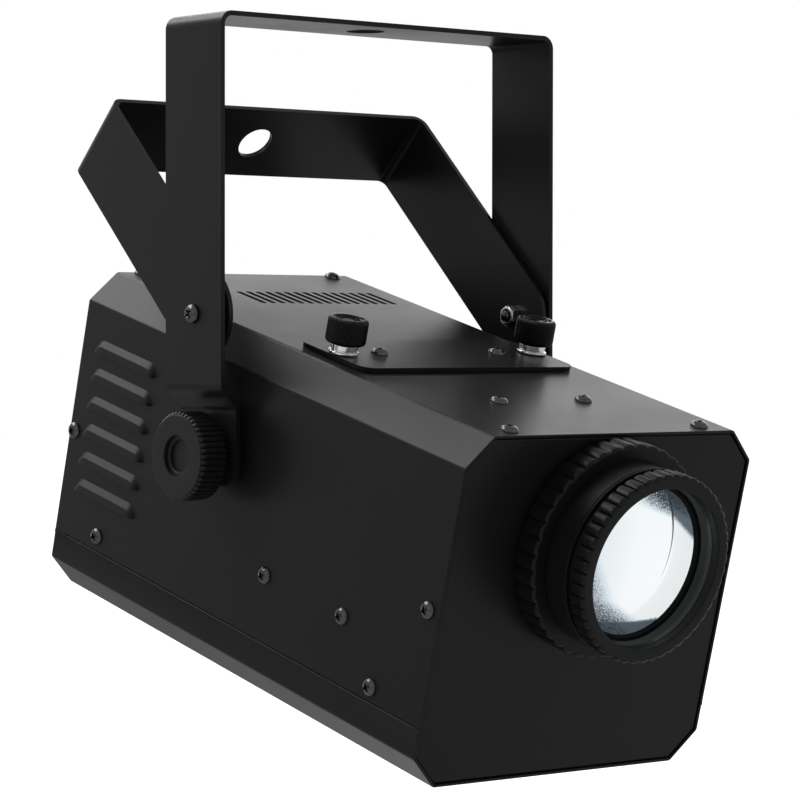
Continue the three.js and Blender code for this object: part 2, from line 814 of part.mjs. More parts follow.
// Gate: a slab on the bench with a slot for the carrier and a round aperture for the light
function goboGate() {
  const [low, high] = [benchZ + gap, flangeBottom - gap];
  const w = carrierTongueWidth / 2 + gateWall;
  const slotHalf = carrierTongueWidth / 2 + gap;
  const slab = box(-w, w, gateMiddle - gateDepth / 2, gateMiddle + gateDepth / 2, low, high);
  const slot = box(-slotHalf, slotHalf, cupFront - gap, tongueFace + gap, low + gateFloor, high + overrun);
  const reach = gateDepth / 2 + overrun;
  const aperture = rod(goboRadius - gateLip, gateMiddle - reach, gateMiddle + reach, hiddenSteps);
  return cut(slab, slot, moved(aperture, 0, 0, lensZ));
}

// Lens mount pieces. Places along the lens axis are counted ahead of the housing's front edge.
const barrelBore = barrelRadius - barrelWall;
const zoomBore = barrelRadius + gap;
const aheadOfPanel = -panelSetback + gap;
const objectiveRim = focusRingFront - objectiveToHood;
const objectiveBack = objectiveRim - objectiveEdge;
const sleeveLedgeBack = focusRingFront - hoodLedge - gap;

function lensBarrel() {
  const flangeFront = -(panelSetback + sheet + gap);
  const flangeBack = flangeFront - barrelFlangeThickness;
  return turned([
    [barrelBore, barrelFront],
    [barrelRadius, barrelFront],
    [barrelRadius, barrelFront - barrelLip],
    [barrelRadius - barrelWaist, barrelFront - barrelLip],
    [barrelRadius - barrelWaist, zoomRingFront + gap],
    [barrelRadius, zoomRingFront + gap],
    [barrelRadius, flangeFront],
    [barrelRadius + barrelFlange, flangeFront],
    [barrelRadius + barrelFlange, flangeBack],
    [barrelRadius, flangeBack],
    [barrelRadius, -barrelRear],
    [barrelBore, -barrelRear],
  ].map(([radius, ahead]) => [radius, -ahead]), fineSteps);
}

function zoomRing() {
  const stations = [
    [-zoomRingFront, zoomRingRadius - zoomChamfer, zoomFluteDepth],
    [-zoomRingFront + zoomChamfer, zoomRingRadius, zoomFluteDepth],
    [-zoomRingBack, zoomRingRadius, zoomFluteDepth],
  ];
  const rim = solidOf(flutedGeometry(stations, zoomFluteCount, zoomStepsPerFlute));
  const hub = rod(zoomHubRadius, -(zoomRingFront - zoomRingBack) / 2, -aheadOfPanel, fineSteps);
  const bore = rod(zoomBore, -zoomRingFront - overrun, -aheadOfPanel + overrun, fineSteps);
  return cut(join(rim, hub), bore);
}

function focusRing() {
  const stations = [
    [-focusRingFront, focusRingRadius - focusChamfer, focusFluteDepth],
    [-focusRingFront + focusChamfer, focusRingRadius, focusFluteDepth],
    [-focusRingBack, focusRingRadius, focusFluteDepth],
  ];
  const rim = solidOf(flutedGeometry(stations, focusFluteCount, focusStepsPerFlute));
  const hood = rod(hoodBoreRadius, -focusRingFront - overrun, -focusRingBack + overrun, fineSteps);
  const seat = rod(
    sleeveSpigotRadius + gap, -focusRingFront + hoodLedge, -focusRingBack + overrun, fineSteps,
  );
  return cut(rim, hood, seat);
}

function objectiveSleeve() {
  const shoulder = focusRingBack - gap;
  const seat = objectiveBack - gap;
  return turned([
    [hoodBoreRadius, sleeveLedgeBack],
    [sleeveSpigotRadius, sleeveLedgeBack],
    [sleeveSpigotRadius, shoulder],
    [sleeveRadius, shoulder],
    [sleeveRadius, sleeveRear],
    [objectiveClearRadius, sleeveRear],
    [objectiveClearRadius, seat],
    [objectiveRadius + gap, seat],
    [objectiveRadius + gap, objectiveRim + gap + retainerThickness],
    [hoodBoreRadius, objectiveRim + gap + retainerThickness],
  ].map(([radius, ahead]) => [radius, -ahead]), fineSteps);
}

function objectiveLens() {
  const rim = [-objectiveRim, -objectiveBack];
  return lensSolid(objectiveRadius, objectiveClearRadius, rim, [objectiveBulge, 0], fineSteps);
}

function objectiveRetainer() {
  const back = objectiveRim + gap;
  const chamfer = retainerThickness / 2;
  return turned([
    [objectiveClearRadius, -back],
    [objectiveRadius, -back],
    [objectiveRadius, -back - retainerThickness],
    [objectiveClearRadius + chamfer, -back - retainerThickness],
    [objectiveClearRadius, -back - chamfer],
  ]);
}

function zoomCell() {
  const [front, back] = [zoomCellToFront, zoomCellToFront + zoomCellLength];
  const seat = zoomLensSeat();
  return turned([
    [zoomLensRadius - zoomCellLip, front],
    [sleeveRadius, front],
    [sleeveRadius, back],
    [zoomLensRadius + gap, back],
    [zoomLensRadius + gap, seat - gap],
    [zoomLensRadius - zoomCellLip, seat - gap],
  ], hiddenSteps);
}

const zoomLensSeat = () => zoomCellToFront + zoomCellLip + zoomLensBulge + gap;

function zoomLens() {
  const seat = zoomLensSeat();
  const rim = [seat, seat + zoomLensEdge];
  return lensSolid(zoomLensRadius, zoomLensRadius - zoomCellLip, rim, [0, zoomLensBulge], hiddenSteps);
}

// Light engine, on a bench that bridges the power supply
function opticalBench() {
  const [w, mid] = [benchWidth / 2, benchSheet / 2];
  const [footZ, deckZ] = [floorZ + gap + mid, benchZ - mid];
  const corners = [
    [-w - benchFoot, footZ], [-w + mid, footZ, benchBend], [-w + mid, deckZ, benchBend],
    [w - mid, deckZ, benchBend], [w - mid, footZ, benchBend], [w + benchFoot, footZ],
  ];
  const outline = stripOutline(corners, benchSheet);
  return prismAlongY(outline, benchFront, benchBack);
}

function condenserHolder() {
  const front = condenserFront;
  const back = front + condenserHolderLength;
  const outer = condenserRadius + gap + condenserHolderWall;
  const w = condenserFootWidth / 2;
  const body = moved(rod(outer, front, back, hiddenSteps), 0, 0, lensZ);
  const foot = box(-w, w, front, back, benchZ + gap, lensZ - outer / 2);
  const clear = rod(condenserRadius - condenserLedge, front - overrun, back + overrun, hiddenSteps);
  const bore = rod(condenserRadius + gap, condenserRim - condenserEdge - gap, back + overrun, hiddenSteps);
  return cut(join(body, foot), moved(join(clear, bore), 0, 0, lensZ));
}

const condenserRim = condenserFront + condenserLedge + condenserBulge + condenserEdge;

function condenserLens() {
  const rim = [condenserRim - condenserEdge, condenserRim];
  const clear = condenserRadius - condenserLedge;
  return moved(lensSolid(condenserRadius, clear, rim, [condenserBulge, 0], hiddenSteps), 0, 0, lensZ);
}

const ledBoardBack = heatsinkFace - gap;

function ledBoard() {
  const s = ledBoardSize / 2;
  return box(-s, s, ledBoardBack - ledBoardThickness, ledBoardBack, lensZ - s, lensZ + s);
}

function ledEmitter() {
  const back = ledBoardBack - ledBoardThickness - gap;
  return moved(rod(ledEmitterRadius, back - ledEmitterHeight, back), 0, 0, lensZ);
}

// Heatsink: a comb of fins, extruded upwards
function heatsink() {
  const w = heatsinkWidth / 2;
  const baseBack = heatsinkFace + heatsinkBase;
  const finEnd = heatsinkBack;
  const pitch = (heatsinkWidth - heatsinkFinThickness) / (heatsinkFinCount - 1);
  const points = [[-w, heatsinkFace], [w, heatsinkFace]];
  for (let i = heatsinkFinCount - 1; i >= 0; i--) {
    const left = -w + i * pitch;
    const right = left + heatsinkFinThickness;
    if (i < heatsinkFinCount - 1) points.push([right, baseBack]);
    points.push([right, finEnd], [left, finEnd]);
    if (i > 0) points.push([left, baseBack]);
  }
  return prismAlongZ(points, benchZ + gap, ceilingZ - heatsinkToRoof);
}

const rotorBack = fanBack - fanMotorDepth - gap;

function fanFrame() {
  const s = fanSize / 2;
  const corner = [fanCorner, fanCorner, fanCorner, fanCorner];
  let frame = prismAlongY(roundedOutline(-s, -s, s, s, corner), fanFront, fanBack);
  frame = cut(frame, rod(fanBoreRadius, fanFront - overrun, fanBack + overrun, hiddenSteps * 2));
  frame = frame.add(rod(fanHubRadius, fanBack - fanMotorDepth, fanBack, smallSteps));
  for (let i = 0; i < fanStrutCount; i++) {
    const strut = new THREE.BoxGeometry(fanStrutWidth, fanMotorDepth, fanBoreRadius);
    strut.translate(0, fanBack - fanMotorDepth / 2, fanBoreRadius / 2 + fanStrutWidth / 2);
    frame = frame.add(solidOf(strut.rotateY((turn * (i + 1 / 2)) / fanStrutCount)));
  }
  const shaftEnd = fanBack - fanMotorDepth / 2;
  const shaft = rod(fanShaftRadius, rotorBack - fanDepth / 2, shaftEnd, smallSteps / 2);
  return moved(frame.add(shaft), 0, 0, lensZ);
}

// Blades: cambered plates set at a pitch round the hub
function fanRotor() {
  const front = fanFront + gap;
  let rotor = rod(fanHubRadius, front, rotorBack, hiddenSteps);
  const length = fanBoreRadius - fanTipGap - fanHubRadius / 2;
  const half = fanBladeChord / 2;
  const section = [
    [-half, 0], [0, fanBladeCamber], [half, 0],
    [half, fanBladeThickness], [0, fanBladeCamber + fanBladeThickness], [-half, fanBladeThickness],
  ];
  for (let i = 0; i < fanBladeCount; i++) {
    const blade = extruded(section, length).rotateZ(fanBladePitch);
    blade.translate(0, (front + rotorBack) / 2, fanHubRadius / 2);
    rotor = rotor.add(solidOf(blade.rotateY((turn * i) / fanBladeCount)));
  }
  const boreStart = rotorBack - fanDepth / 2 - gap;
  const bore = rod(fanShaftRadius + gap, boreStart, rotorBack + overrun, smallSteps / 2);
  return moved(cut(rotor, bore), 0, 0, lensZ);
}

// Power supply and inlet
function boardCorners() {
  const inset = standoffRadius * 2;
  const w = boardWidth / 2 - inset;
  const [y0, y1] = [boardFront + inset, boardFront + boardLength - inset];
  return [[-w, y0], [w, y0], [-w, y1], [w, y1]];
}

const boardZ = floorZ + standoffHeight + gap;
const boardTop = boardZ + boardThickness;

function powerBoard() {
  const w = boardWidth / 2;
  return box(-w, w, boardFront, boardFront + boardLength, boardZ, boardTop);
}

function transformer() {
  const x = -boardWidth / 4;
  const y = boardFront + boardLength / 2;
  const [w, l] = [transformerWidth / 2, transformerLength / 2];
  const core = box(x - w, x + w, y - l, y + l, boardTop + gap, boardTop + gap + transformerHeight);
  const windowWidth = transformerWidth / 4;
  const window = box(
    x - windowWidth, x + windowWidth, y - l - overrun, y - l / 2,
    boardTop + transformerHeight / 4, boardTop + (transformerHeight * 3) / 4,
  );
  return cut(core, window);
}

function capacitor() {
  const z = boardTop + gap;
  const can = rodAlongZ(capacitorRadius, z, z + capacitorHeight);
  return moved(can, boardWidth / 4, boardFront + boardLength / 2, 0);
}

function powerInlet() {
  const [w, h] = [inletWidth / 2, inletHeight / 2];
  const outside = rearFace + gap;
  const face = outside + inletFlangeThickness;
  const [fw, fh] = [w + inletFlange, h + inletFlange];
  const flange = box(-fw, fw, outside, face, -fh, fh);
  const body = box(-w, w, face - inletDepth, face - inletFlangeThickness / 2, -h, h);
  const [cw, ch] = [w - inletWall, h - inletWall];
  const bottom = face - inletDepth + inletWall;
  const corner = inletWall * 2;
  const outline = roundedOutline(-cw, -ch, cw, ch, [0, 0, corner, corner]);
  let inlet = cut(join(flange, body), prismAlongY(outline, bottom, face + overrun));
  for (const place of [-1, 0, 1]) {
    const x = (place * inletPinSpacing) / 2;
    const z = place === 0 ? inletPinWidth / 2 : -inletPinWidth / 2;
    const [pw, ph] = [inletPinThickness / 2, inletPinWidth / 2];
    inlet = inlet.add(box(x - pw, x + pw, bottom - inletWall / 2, face - inletWall, z - ph, z + ph));
  }
  return moved(inlet, inletX, 0, inletZ);
}

function fuseHolder() {
  const outside = rearFace + gap;
  return moved(turned([
    [0, outside + fuseCapHeight - fuseDepth],
    [fuseRadius, outside + fuseCapHeight - fuseDepth],
    [fuseRadius, outside],
    [fuseCapRadius, outside],
    [fuseCapRadius, outside + fuseCapHeight],
    [0, outside + fuseCapHeight],
  ], smallSteps), fuseX, 0, inletZ);
}

// Yokes: a bent strip, trimmed to the outline of its arms
function yokeSolid(corners, strip, armOutline) {
  const outline = stripOutline(corners, yokeThickness);
  const reach = yokeWidth / 2 + overrun;
  return prismAlongY(outline, -strip / 2, strip / 2).intersect(prismAlongX(armOutline, -reach, reach));
}

function mainYoke() {
  const knobZ = -crossbarToKnob;
  const mid = yokeThickness / 2;
  const armX = yokeWidth / 2 - mid;
  const tabX = armX - joggleDepth;
  const foot = knobZ - tabBelowKnob;
  const joggleZ = knobZ + knobRadius + joggleAboveKnob;
  const left = [
    [-tabX, foot], [-tabX, joggleZ, joggleBend],
    [-armX, joggleZ + joggleDepth, joggleBend], [-armX, -mid, yokeBend],
  ];
  const right = left.map(([x, z, bend]) => [-x, z, bend]).reverse();
  const w = yokeStrip / 2;
  const arms = roundedOutline(-w, foot, w, overrun, [tabCorner, tabCorner, 0, 0]);
  let yoke = yokeSolid([...left, ...right], yokeStrip, arms);
  yoke = cut(yoke, rodAlongZ(clampHoleRadius, -yokeThickness - overrun, overrun, roundSteps));
  for (const side of [-1, 1]) {
    const knobHole = rodAlongX(studHoleRadius, tabInner - overrun, tabOuter + overrun, side);
    const hingeHole = rodAlongX(pivotHoleRadius, armX - mid - overrun, armX + mid + overrun, side);
    yoke = cut(yoke, moved(knobHole, 0, 0, knobZ), moved(hingeHole, 0, 0, knobZ + pivotToKnob));
  }
  return yoke;
}

// Second yoke, drawn upright with its hinge at the origin
function innerYoke() {
  const mid = yokeThickness / 2;
  const armX = innerYokeWidth / 2 - mid;
  const w = innerYokeStrip / 2;
  const crossbarZ = innerYokeLength - mid;
  const corners = [[-armX, -w], [-armX, crossbarZ, yokeBend], [armX, crossbarZ, yokeBend], [armX, -w]];
  const arms = roundedOutline(-w, -w, w, innerYokeLength + overrun, [w, w, 0, 0], bendSteps * 2);
  let yoke = yokeSolid(corners, innerYokeStrip, arms);
  const crossbar = [innerYokeLength - yokeThickness - overrun, innerYokeLength + overrun];
  yoke = cut(yoke, rodAlongZ(innerYokeHoleRadius, ...crossbar, roundSteps));
  for (const side of [-1, 1]) {
    yoke = cut(yoke, rodAlongX(pivotHoleRadius, armX - mid - overrun, armX + mid + overrun, side));
  }
  return yoke;
}

// Hinge hardware, from the outside in: bolt head, main yoke, washer, second yoke, nut
function pivotBolt(side) {
  const seat = yokeWidth / 2 + gap;
  const end = innerYokeFace - gap - pivotNutHeight - pivotBoltEnd;
  const face = seat + pivotHeadHeight;
  return turnedAlongX([
    [0, end],
    [pivotBoltRadius, end],
    [pivotBoltRadius, seat],
    [pivotHeadRadius, seat],
    [pivotHeadRadius, face - pivotHeadDome],
    [pivotHeadRadius - pivotHeadDome, face],
    [0, face],
  ], side, smallSteps);
}

function pivotWasher(side) {
  const [from, to] = [innerYokeWidth / 2 + gap, innerYokeWidth / 2 + yokeToYoke - gap];
  return turnedAlongX([
    [pivotHoleRadius, from], [pivotWasherRadius, from], [pivotWasherRadius, to], [pivotHoleRadius, to],
  ], side, smallSteps);
}

function pivotNut(side) {
  const to = innerYokeFace - gap;
  const from = to - pivotNutHeight;
  const corner = pivotNutAcrossFlats / Math.sqrt(3);
  const hex = rodAlongX(corner, from, to, side, hexSides);
  return cut(hex, rodAlongX(pivotHoleRadius, from - overrun, to + overrun, side));
}

// Tilt knob hardware, from the inside out: clinch nut, cover, spacer, yoke tab, washer, knob
function clinchNut(side) {
  const to = halfWidth - sheet - gap;
  const from = to - clinchNutLength;
  const body = rodAlongX(clinchNutRadius, from, to, side);
  return cut(body, rodAlongX(studHoleRadius, from - overrun, to + overrun, side));
}

function tiltSpacer(side) {
  const [from, to] = [halfWidth + gap, tabInner - gap];
  const body = rodAlongX(spacerRadius, from, to, side, roundSteps);
  return cut(body, rodAlongX(studHoleRadius, from - overrun, to + overrun, side));
}

function knobWasher(side) {
  const [from, to] = [tabOuter + gap, tabOuter + gap + knobWasherThickness];
  const body = rodAlongX(knobWasherRadius, from, to, side);
  return cut(body, rodAlongX(studHoleRadius, from - overrun, to + overrun, side));
}

function knobStud(side) {
  const from = halfWidth - sheet - gap - clinchNutLength - gap;
  return rodAlongX(studRadius, from, knobBack + knobBoreDepth, side);
}

function tiltKnob(side) {
  const r = knobRadius;
  const stations = [
    [knobBack, r, knobFluteDepth],
    [knobFace - knobChamfer, r, knobFluteDepth],
    [knobFace, r - knobChamfer, 0],
  ];
  const rim = flutedGeometry(stations, knobFluteCount, knobStepsPerFlute).rotateZ(-quarterTurn * side);
  const hub = rodAlongX(knobHubRadius, knobHubStart, knobBack + knobThickness / 2, side);
  const recess = turnedAlongX([
    [0, knobFace - knobInnerRecessDepth],
    [knobInnerRecessRadius, knobFace - knobInnerRecessDepth],
    [knobInnerRecessRadius, knobFace - knobRecessDepth],
    [knobRecessRadius, knobFace - knobRecessDepth],
    [knobRecessRadius, knobFace + overrun],
    [0, knobFace + overrun],
  ], side, roundSteps);
  const bore = rodAlongX(studHoleRadius, knobHubStart - overrun, knobBack + knobBoreDepth + gap, side);
  return cut(join(solidOf(rim), hub), recess, bore);
}

// Finishes, as [colour, roughness, metalness]
const finishes = {
  powderCoat: [0x1b1b1c, 0.55, 0.2],
  blackPlastic: [0x141415, 0.5, 0],
  nickel: [0xc9c9c6, 0.25, 1],
  blackSteel: [0x232324, 0.45, 0.8],
  zinc: [0xb4b6b8, 0.4, 1],
  aluminium: [0xa9abad, 0.45, 1],
  glass: [0xe8f2f6, 0.05, 0],
  anodised: [0x1a1c1f, 0.4, 0.6],
  board: [0x1f5a35, 0.6, 0],
  whiteBoard: [0xdfe3e2, 0.5, 0],
  phosphor: [0xe6cf5c, 0.6, 0],
};

function piece(name, solid, finish, parent) {
  const [color, roughness, metalness] = finishes[finish];
  const material = new THREE.MeshStandardMaterial({ color, roughness, metalness, flatShading: true });
  const mesh = new THREE.Mesh(geometryOf(solid), material);
  mesh.name = name;
  parent.add(mesh);
  return mesh;
}

function groupAt(x, y, z, parent) {
  const group = new THREE.Group();
  group.position.set(x, y, z);
  parent.add(group);
  return group;
}

const projector = new THREE.Group();
const sides = [["left", -1], ["right", 1]];

piece("main_yoke", mainYoke(), "powderCoat", projector);

// Hinge between the yokes
const hinge = groupAt(0, 0, pivotToKnob - crossbarToKnob, projector);
for (const [word, side] of sides) {
  piece(`hinge_bolt_${word}`, pivotBolt(side), "blackSteel", hinge);
  piece(`hinge_washer_${word}`, pivotWasher(side), "zinc", hinge);
  piece(`hinge_nut_${word}`, pivotNut(side), "zinc", hinge);
}
const swing = groupAt(0, 0, 0, hinge);
swing.rotation.x = innerYokeAngle;
piece("second_yoke", innerYoke(), "powderCoat", swing);

// Housing, tilted about the knobs' axis
const housing = groupAt(0, 0, -crossbarToKnob, projector);
housing.rotation.x = noseDownAngle;
piece("top_cover", topCover(), "powderCoat", housing);
piece("bottom_tray", bottomTray(), "powderCoat", housing);
piece("front_panel", frontPanel(), "powderCoat", housing);
piece("rear_panel", rearPanel(), "powderCoat", housing);

for (const [word, side] of sides) {
  piece(`clinch_nut_${word}`, clinchNut(side), "zinc", housing);
  piece(`tilt_spacer_${word}`, tiltSpacer(side), "blackPlastic", housing);
  piece(`knob_washer_${word}`, knobWasher(side), "blackSteel", housing);
  piece(`knob_stud_${word}`, knobStud(side), "zinc", housing);
  piece(`tilt_knob_${word}`, tiltKnob(side), "blackPlastic", housing);
}

// Access plate with the gobo carrier
piece("access_plate", accessPlate(), "powderCoat", housing);
piece("gobo_carrier", goboCarrier(), "blackSteel", housing);
piece("gobo_disc", goboDisc(), "zinc", housing);
piece("gobo_ring", goboRing(), "zinc", housing);
piece("gobo_gate", goboGate(), "anodised", housing);
for (const [word, side] of sides) {
  const place = groupAt((side * thumbSpacing) / 2, plateY, 0, housing);
  piece(`thumbscrew_collar_${word}`, thumbscrewCollar(), "nickel", place);
  piece(`thumbscrew_head_${word}`, thumbscrewHead(), "blackPlastic", place);
  piece(`plate_nut_${word}`, plateNut(), "zinc", place);
}

// Lens mount on the front panel
const lens = groupAt(0, frontY, lensZ, housing);
piece("lens_barrel", lensBarrel(), "anodised", lens);
piece("zoom_ring", zoomRing(), "blackPlastic", lens);
piece("focus_ring", focusRing(), "blackPlastic", lens);
piece("objective_sleeve", objectiveSleeve(), "anodised", lens);
piece("objective_lens", objectiveLens(), "glass", lens);
piece("objective_retainer", objectiveRetainer(), "anodised", lens);
piece("zoom_lens_cell", zoomCell(), "anodised", lens);
piece("zoom_lens", zoomLens(), "glass", lens);

// Light engine, fan and power supply
piece("optical_bench", opticalBench(), "zinc", housing);
piece("condenser_holder", condenserHolder(), "anodised", housing);
piece("condenser_lens", condenserLens(), "glass", housing);
piece("led_board", ledBoard(), "whiteBoard", housing);
piece("led_emitter", ledEmitter(), "phosphor", housing);
piece("heatsink", heatsink(), "aluminium", housing);
piece("fan_frame", fanFrame(), "blackPlastic", housing);
piece("fan_rotor", fanRotor(), "blackPlastic", housing);
piece("power_board", powerBoard(), "board", housing);
piece("transformer", transformer(), "blackSteel", housing);
piece("capacitor", capacitor(), "blackPlastic", housing);
piece("power_inlet", powerInlet(), "blackPlastic", housing);
piece("fuse_holder", fuseHolder(), "blackPlastic", housing);

export default projector;
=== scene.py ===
# %% [markdown]
# # A gobo projector in a double yoke
# The projector is a folded steel box with a zoom and focus lens at its nose. It tilts between the
# arms of a bent steel yoke, to which a second, shorter yoke is hinged. Its solids come in as a
# fixed frame, in metres, with +Z up and the nose along -Y. This lesson gives each piece that shows
# its finished surface: rounded folds, fluted rings, domed screws and a material of its own.

import math

import bmesh
import bpy
from mathutils import Matrix, Vector


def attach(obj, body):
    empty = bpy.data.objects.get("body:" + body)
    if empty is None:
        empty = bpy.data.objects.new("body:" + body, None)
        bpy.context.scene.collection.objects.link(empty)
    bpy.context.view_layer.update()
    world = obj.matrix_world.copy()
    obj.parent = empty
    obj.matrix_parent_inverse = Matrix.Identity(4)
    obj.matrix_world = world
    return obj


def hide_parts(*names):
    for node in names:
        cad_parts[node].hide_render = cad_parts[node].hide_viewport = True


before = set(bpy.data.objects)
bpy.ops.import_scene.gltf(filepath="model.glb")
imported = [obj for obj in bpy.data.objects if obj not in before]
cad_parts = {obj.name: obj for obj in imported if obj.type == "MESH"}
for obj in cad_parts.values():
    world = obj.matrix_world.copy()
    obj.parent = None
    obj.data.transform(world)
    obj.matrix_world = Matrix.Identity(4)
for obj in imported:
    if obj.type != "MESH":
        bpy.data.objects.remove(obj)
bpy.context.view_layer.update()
print("pieces in the frame:", len(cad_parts))

# %% [markdown]
# The pieces are drawn in millimetres, each in the frame of what carries it, and a matrix puts the
# finished mesh in its place in metres. The housing leans 14.8 degrees nose down about the tilt
# knobs, and the second yoke 45.25 degrees back about the hinge bolts.

# %% Frames of the moving parts
def shift(x, y, z):
    return Matrix.Translation((x, y, z))


def lean(degrees, axis):
    return Matrix.Rotation(math.radians(degrees), 4, axis)


def outward(side):
    return lean(90 * side, "Y")


FRONT, BACK = -145.3, 106.7  # the shell's ends, from the knobs' axis
SIDE, ROOF, BELLY = 75, 49.8, -89  # the shell's outer faces
LENS_UP = 5.6
NOSE_DOWN = lean(14.8, "X")
ROOM = Matrix.Identity(4)
KNOB_AXIS = shift(0, 0, -177.1)
HINGE_AXIS = shift(0, 0, -120.2)
HOUSING = KNOB_AXIS @ NOSE_DOWN
SECOND_YOKE = HINGE_AXIS @ lean(-45.25, "X")
LENS = HOUSING @ shift(0, FRONT, LENS_UP) @ lean(90, "X")
SIDES = {"left": -1, "right": 1}
print("lens starts at", [round(v, 1) for v in LENS.translation])

# %% [markdown]
# The camera stands in front and to the left, a hair below level, with a long lens that keeps the
# box's edges nearly parallel. Its place was worked out from the housing's corners.

# %% Camera
YAW, PITCH, ROLL = 39.86, -1.08, 0.07
EYE = (-0.8592, -1.0518, -0.1301)


def link_new(name, data):
    made = bpy.data.objects.new(name, data)
    bpy.context.collection.objects.link(made)
    return made


def make_camera():
    camera = link_new("camera", bpy.data.cameras.new("camera"))
    aim = lean(-YAW, "Z") @ lean(90 + PITCH, "X") @ lean(ROLL, "Z")
    camera.matrix_world = shift(*EYE) @ aim
    camera.data.lens = 146.2
    camera.data.sensor_width = 36
    camera.data.clip_start = 0.05
    bpy.context.scene.camera = camera
    return aim @ Vector((0, 0, -1))


print("camera looks along", [round(v, 3) for v in make_camera()])

# %% [markdown]
# Most pieces are turned, folded or punched, so the helpers follow the workshop: a lathe turns a
# profile, a prism is a plate cut to an outline, a loft joins rings, and a fillet rounds corners. No
# real edge is sharp, and the thin highlight along it is what makes a black object readable.

# %% Mesh helpers
def object_from(name, bm):
    bmesh.ops.recalc_face_normals(bm, faces=bm.faces)
    mesh = bpy.data.meshes.new(name)
    bm.to_mesh(mesh)
    bm.free()
    return link_new(name, mesh)


def rectangle(left, low, right, high, *radius):
    return [(x, y, *radius) for x, y in ((left, low), (right, low), (right, high), (left, high))]


def fillet(points, steps=3, closed=True):
    """Rounds the corners of an outline. Each point is (x, y) or (x, y, radius)."""
    rounded = []
    for i, (x, y, *radius) in enumerate(points):
        corner = Vector((x, y))
        if not radius or (not closed and i in (0, len(points) - 1)):
            rounded.append(corner)
            continue
        before = (Vector(points[i - 1][:2]) - corner).normalized()
        after = (Vector(points[(i + 1) % len(points)][:2]) - corner).normalized()
        half = before.angle(after) / 2
        centre = corner + (before + after).normalized() * (radius[0] / math.sin(half))
        start = corner + before * (radius[0] / math.tan(half)) - centre
        end = corner + after * (radius[0] / math.tan(half)) - centre
        sweep = math.atan2(start.x * end.y - start.y * end.x, start.dot(end))
        for k in range(steps + 1):
            c, s = math.cos(sweep * k / steps), math.sin(sweep * k / steps)
            rounded.append(centre + Vector((start.x * c - start.y * s, start.x * s + start.y * c)))
    return [tuple(p) for p in rounded]


def lathe(name, profile, steps=96):
    """Turns (radius, height) points about Z. The profile closes on itself or ends on the axis."""
    bm = bmesh.new()
    rings = []
    for r, z in profile:
        angles = [0] if r < 1e-6 else [2 * math.pi * i / steps for i in range(steps)]
        rings.append([bm.verts.new((r * math.cos(a), r * math.sin(a), z)) for a in angles])
    pairs = list(zip(rings, rings[1:]))
    if len(rings[0]) > 1:
        pairs.append((rings[-1], rings[0]))
    for low, high in pairs:
        for i in range(steps):
            j = (i + 1) % steps
            corners = [ring[k % len(ring)]
                       for ring, k in ((low, i), (low, j), (high, j), (high, i))]
            bm.faces.new(list(dict.fromkeys(corners)))
    return object_from(name, bm)


def loft(name, rings):
    """Joins rings of equal length into a closed skin, with a flat cap at each end."""
    bm = bmesh.new()
    loops = [[bm.verts.new(p) for p in ring] for ring in rings]
    for low, high in zip(loops, loops[1:]):
        for i in range(len(low)):
            j = (i + 1) % len(low)
            bm.faces.new((low[i], low[j], high[j], high[i]))
    bm.faces.new(loops[0])
    bm.faces.new(loops[-1])
    return object_from(name, bm)


def prism(name, outline, start, end, along="Z"):
    """An outline run along one axis. Along Y the outline is (x, z), along X it is (y, z)."""
    order = {"X": (2, 0, 1), "Y": (0, 2, 1), "Z": (0, 1, 2)}[along]
    return loft(name, [[[(*p, c)[i] for i in order] for p in outline] for c in (start, end)])


def rod(radius, start, end, matrix=ROOM, steps=64):
    made = lathe("rod", [(0, start), (radius, start), (radius, end), (0, end)], steps)
    made.data.transform(matrix)
    return made


def block(low, high):
    return prism("block", rectangle(*low[:2], *high[:2]), low[2], high[2])


print("helpers ready")

# %% [markdown]
# Booleans cut holes and join pressings, and a bevel then breaks the edges. Each modifier is turned
# into plain mesh at once, so that a finished piece is a simple object. Faces are shaded smooth up
# to a set angle: flutes and domes look round, folds stay crisp.

# %% Modifier helpers
def flatten(piece):
    bpy.context.view_layer.update()
    evaluated = piece.evaluated_get(bpy.context.evaluated_depsgraph_get())
    mesh = bpy.data.meshes.new_from_object(evaluated)
    piece.modifiers.clear()
    piece.data = mesh
    return piece


def modify(piece, kind, **settings):
    step = piece.modifiers.new(kind.lower(), kind)
    for key, value in settings.items():
        setattr(step, key, value)


def boolean(piece, tools, operation="DIFFERENCE"):
    before = len(piece.data.polygons)
    for tool in tools:
        modify(piece, "BOOLEAN", operation=operation, solver="MANIFOLD", object=tool)
    flatten(piece)
    if len(piece.data.polygons) in (0, before):
        print("check this boolean:", piece.name, operation)
    for tool in tools:
        bpy.data.objects.remove(tool)
    return piece


def smooth(piece, degrees=32):
    piece.data.shade_smooth()
    piece.data.set_sharp_from_angle(angle=math.radians(degrees))
    modify(piece, "WEIGHTED_NORMAL", keep_sharp=True)
    return flatten(piece)


def soften(piece, width, segments=2, degrees=40):
    modify(piece, "BEVEL", width=width, segments=segments, limit_method="ANGLE",
           angle_limit=math.radians(degrees), harden_normals=False)
    flatten(piece)
    return smooth(piece)


def washer(bore, radius, low, high, edge, steps=64):
    """A flat ring whose outer edges are rounded."""
    profile = [(bore, low), (radius, low, edge), (radius, high, edge), (bore, high)]
    return smooth(lathe("washer", fillet(profile), steps))


def finish_piece(piece, name, where, body, material, slot, *replaced):
    """Places a millimetre mesh in the row frame, gives it its body and finish, and hides the solids
    it replaces.
    """
    piece.data.transform(Matrix.Scale(0.001, 4) @ where)
    piece.name = piece.data.name = name
    piece.data.materials.clear()
    piece.data.materials.append(material)
    for face in piece.data.polygons:
        face.material_index = 0
    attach(piece, body)
    if replaced:
        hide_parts(*replaced)
    return piece


print("modifiers become plain mesh at once")

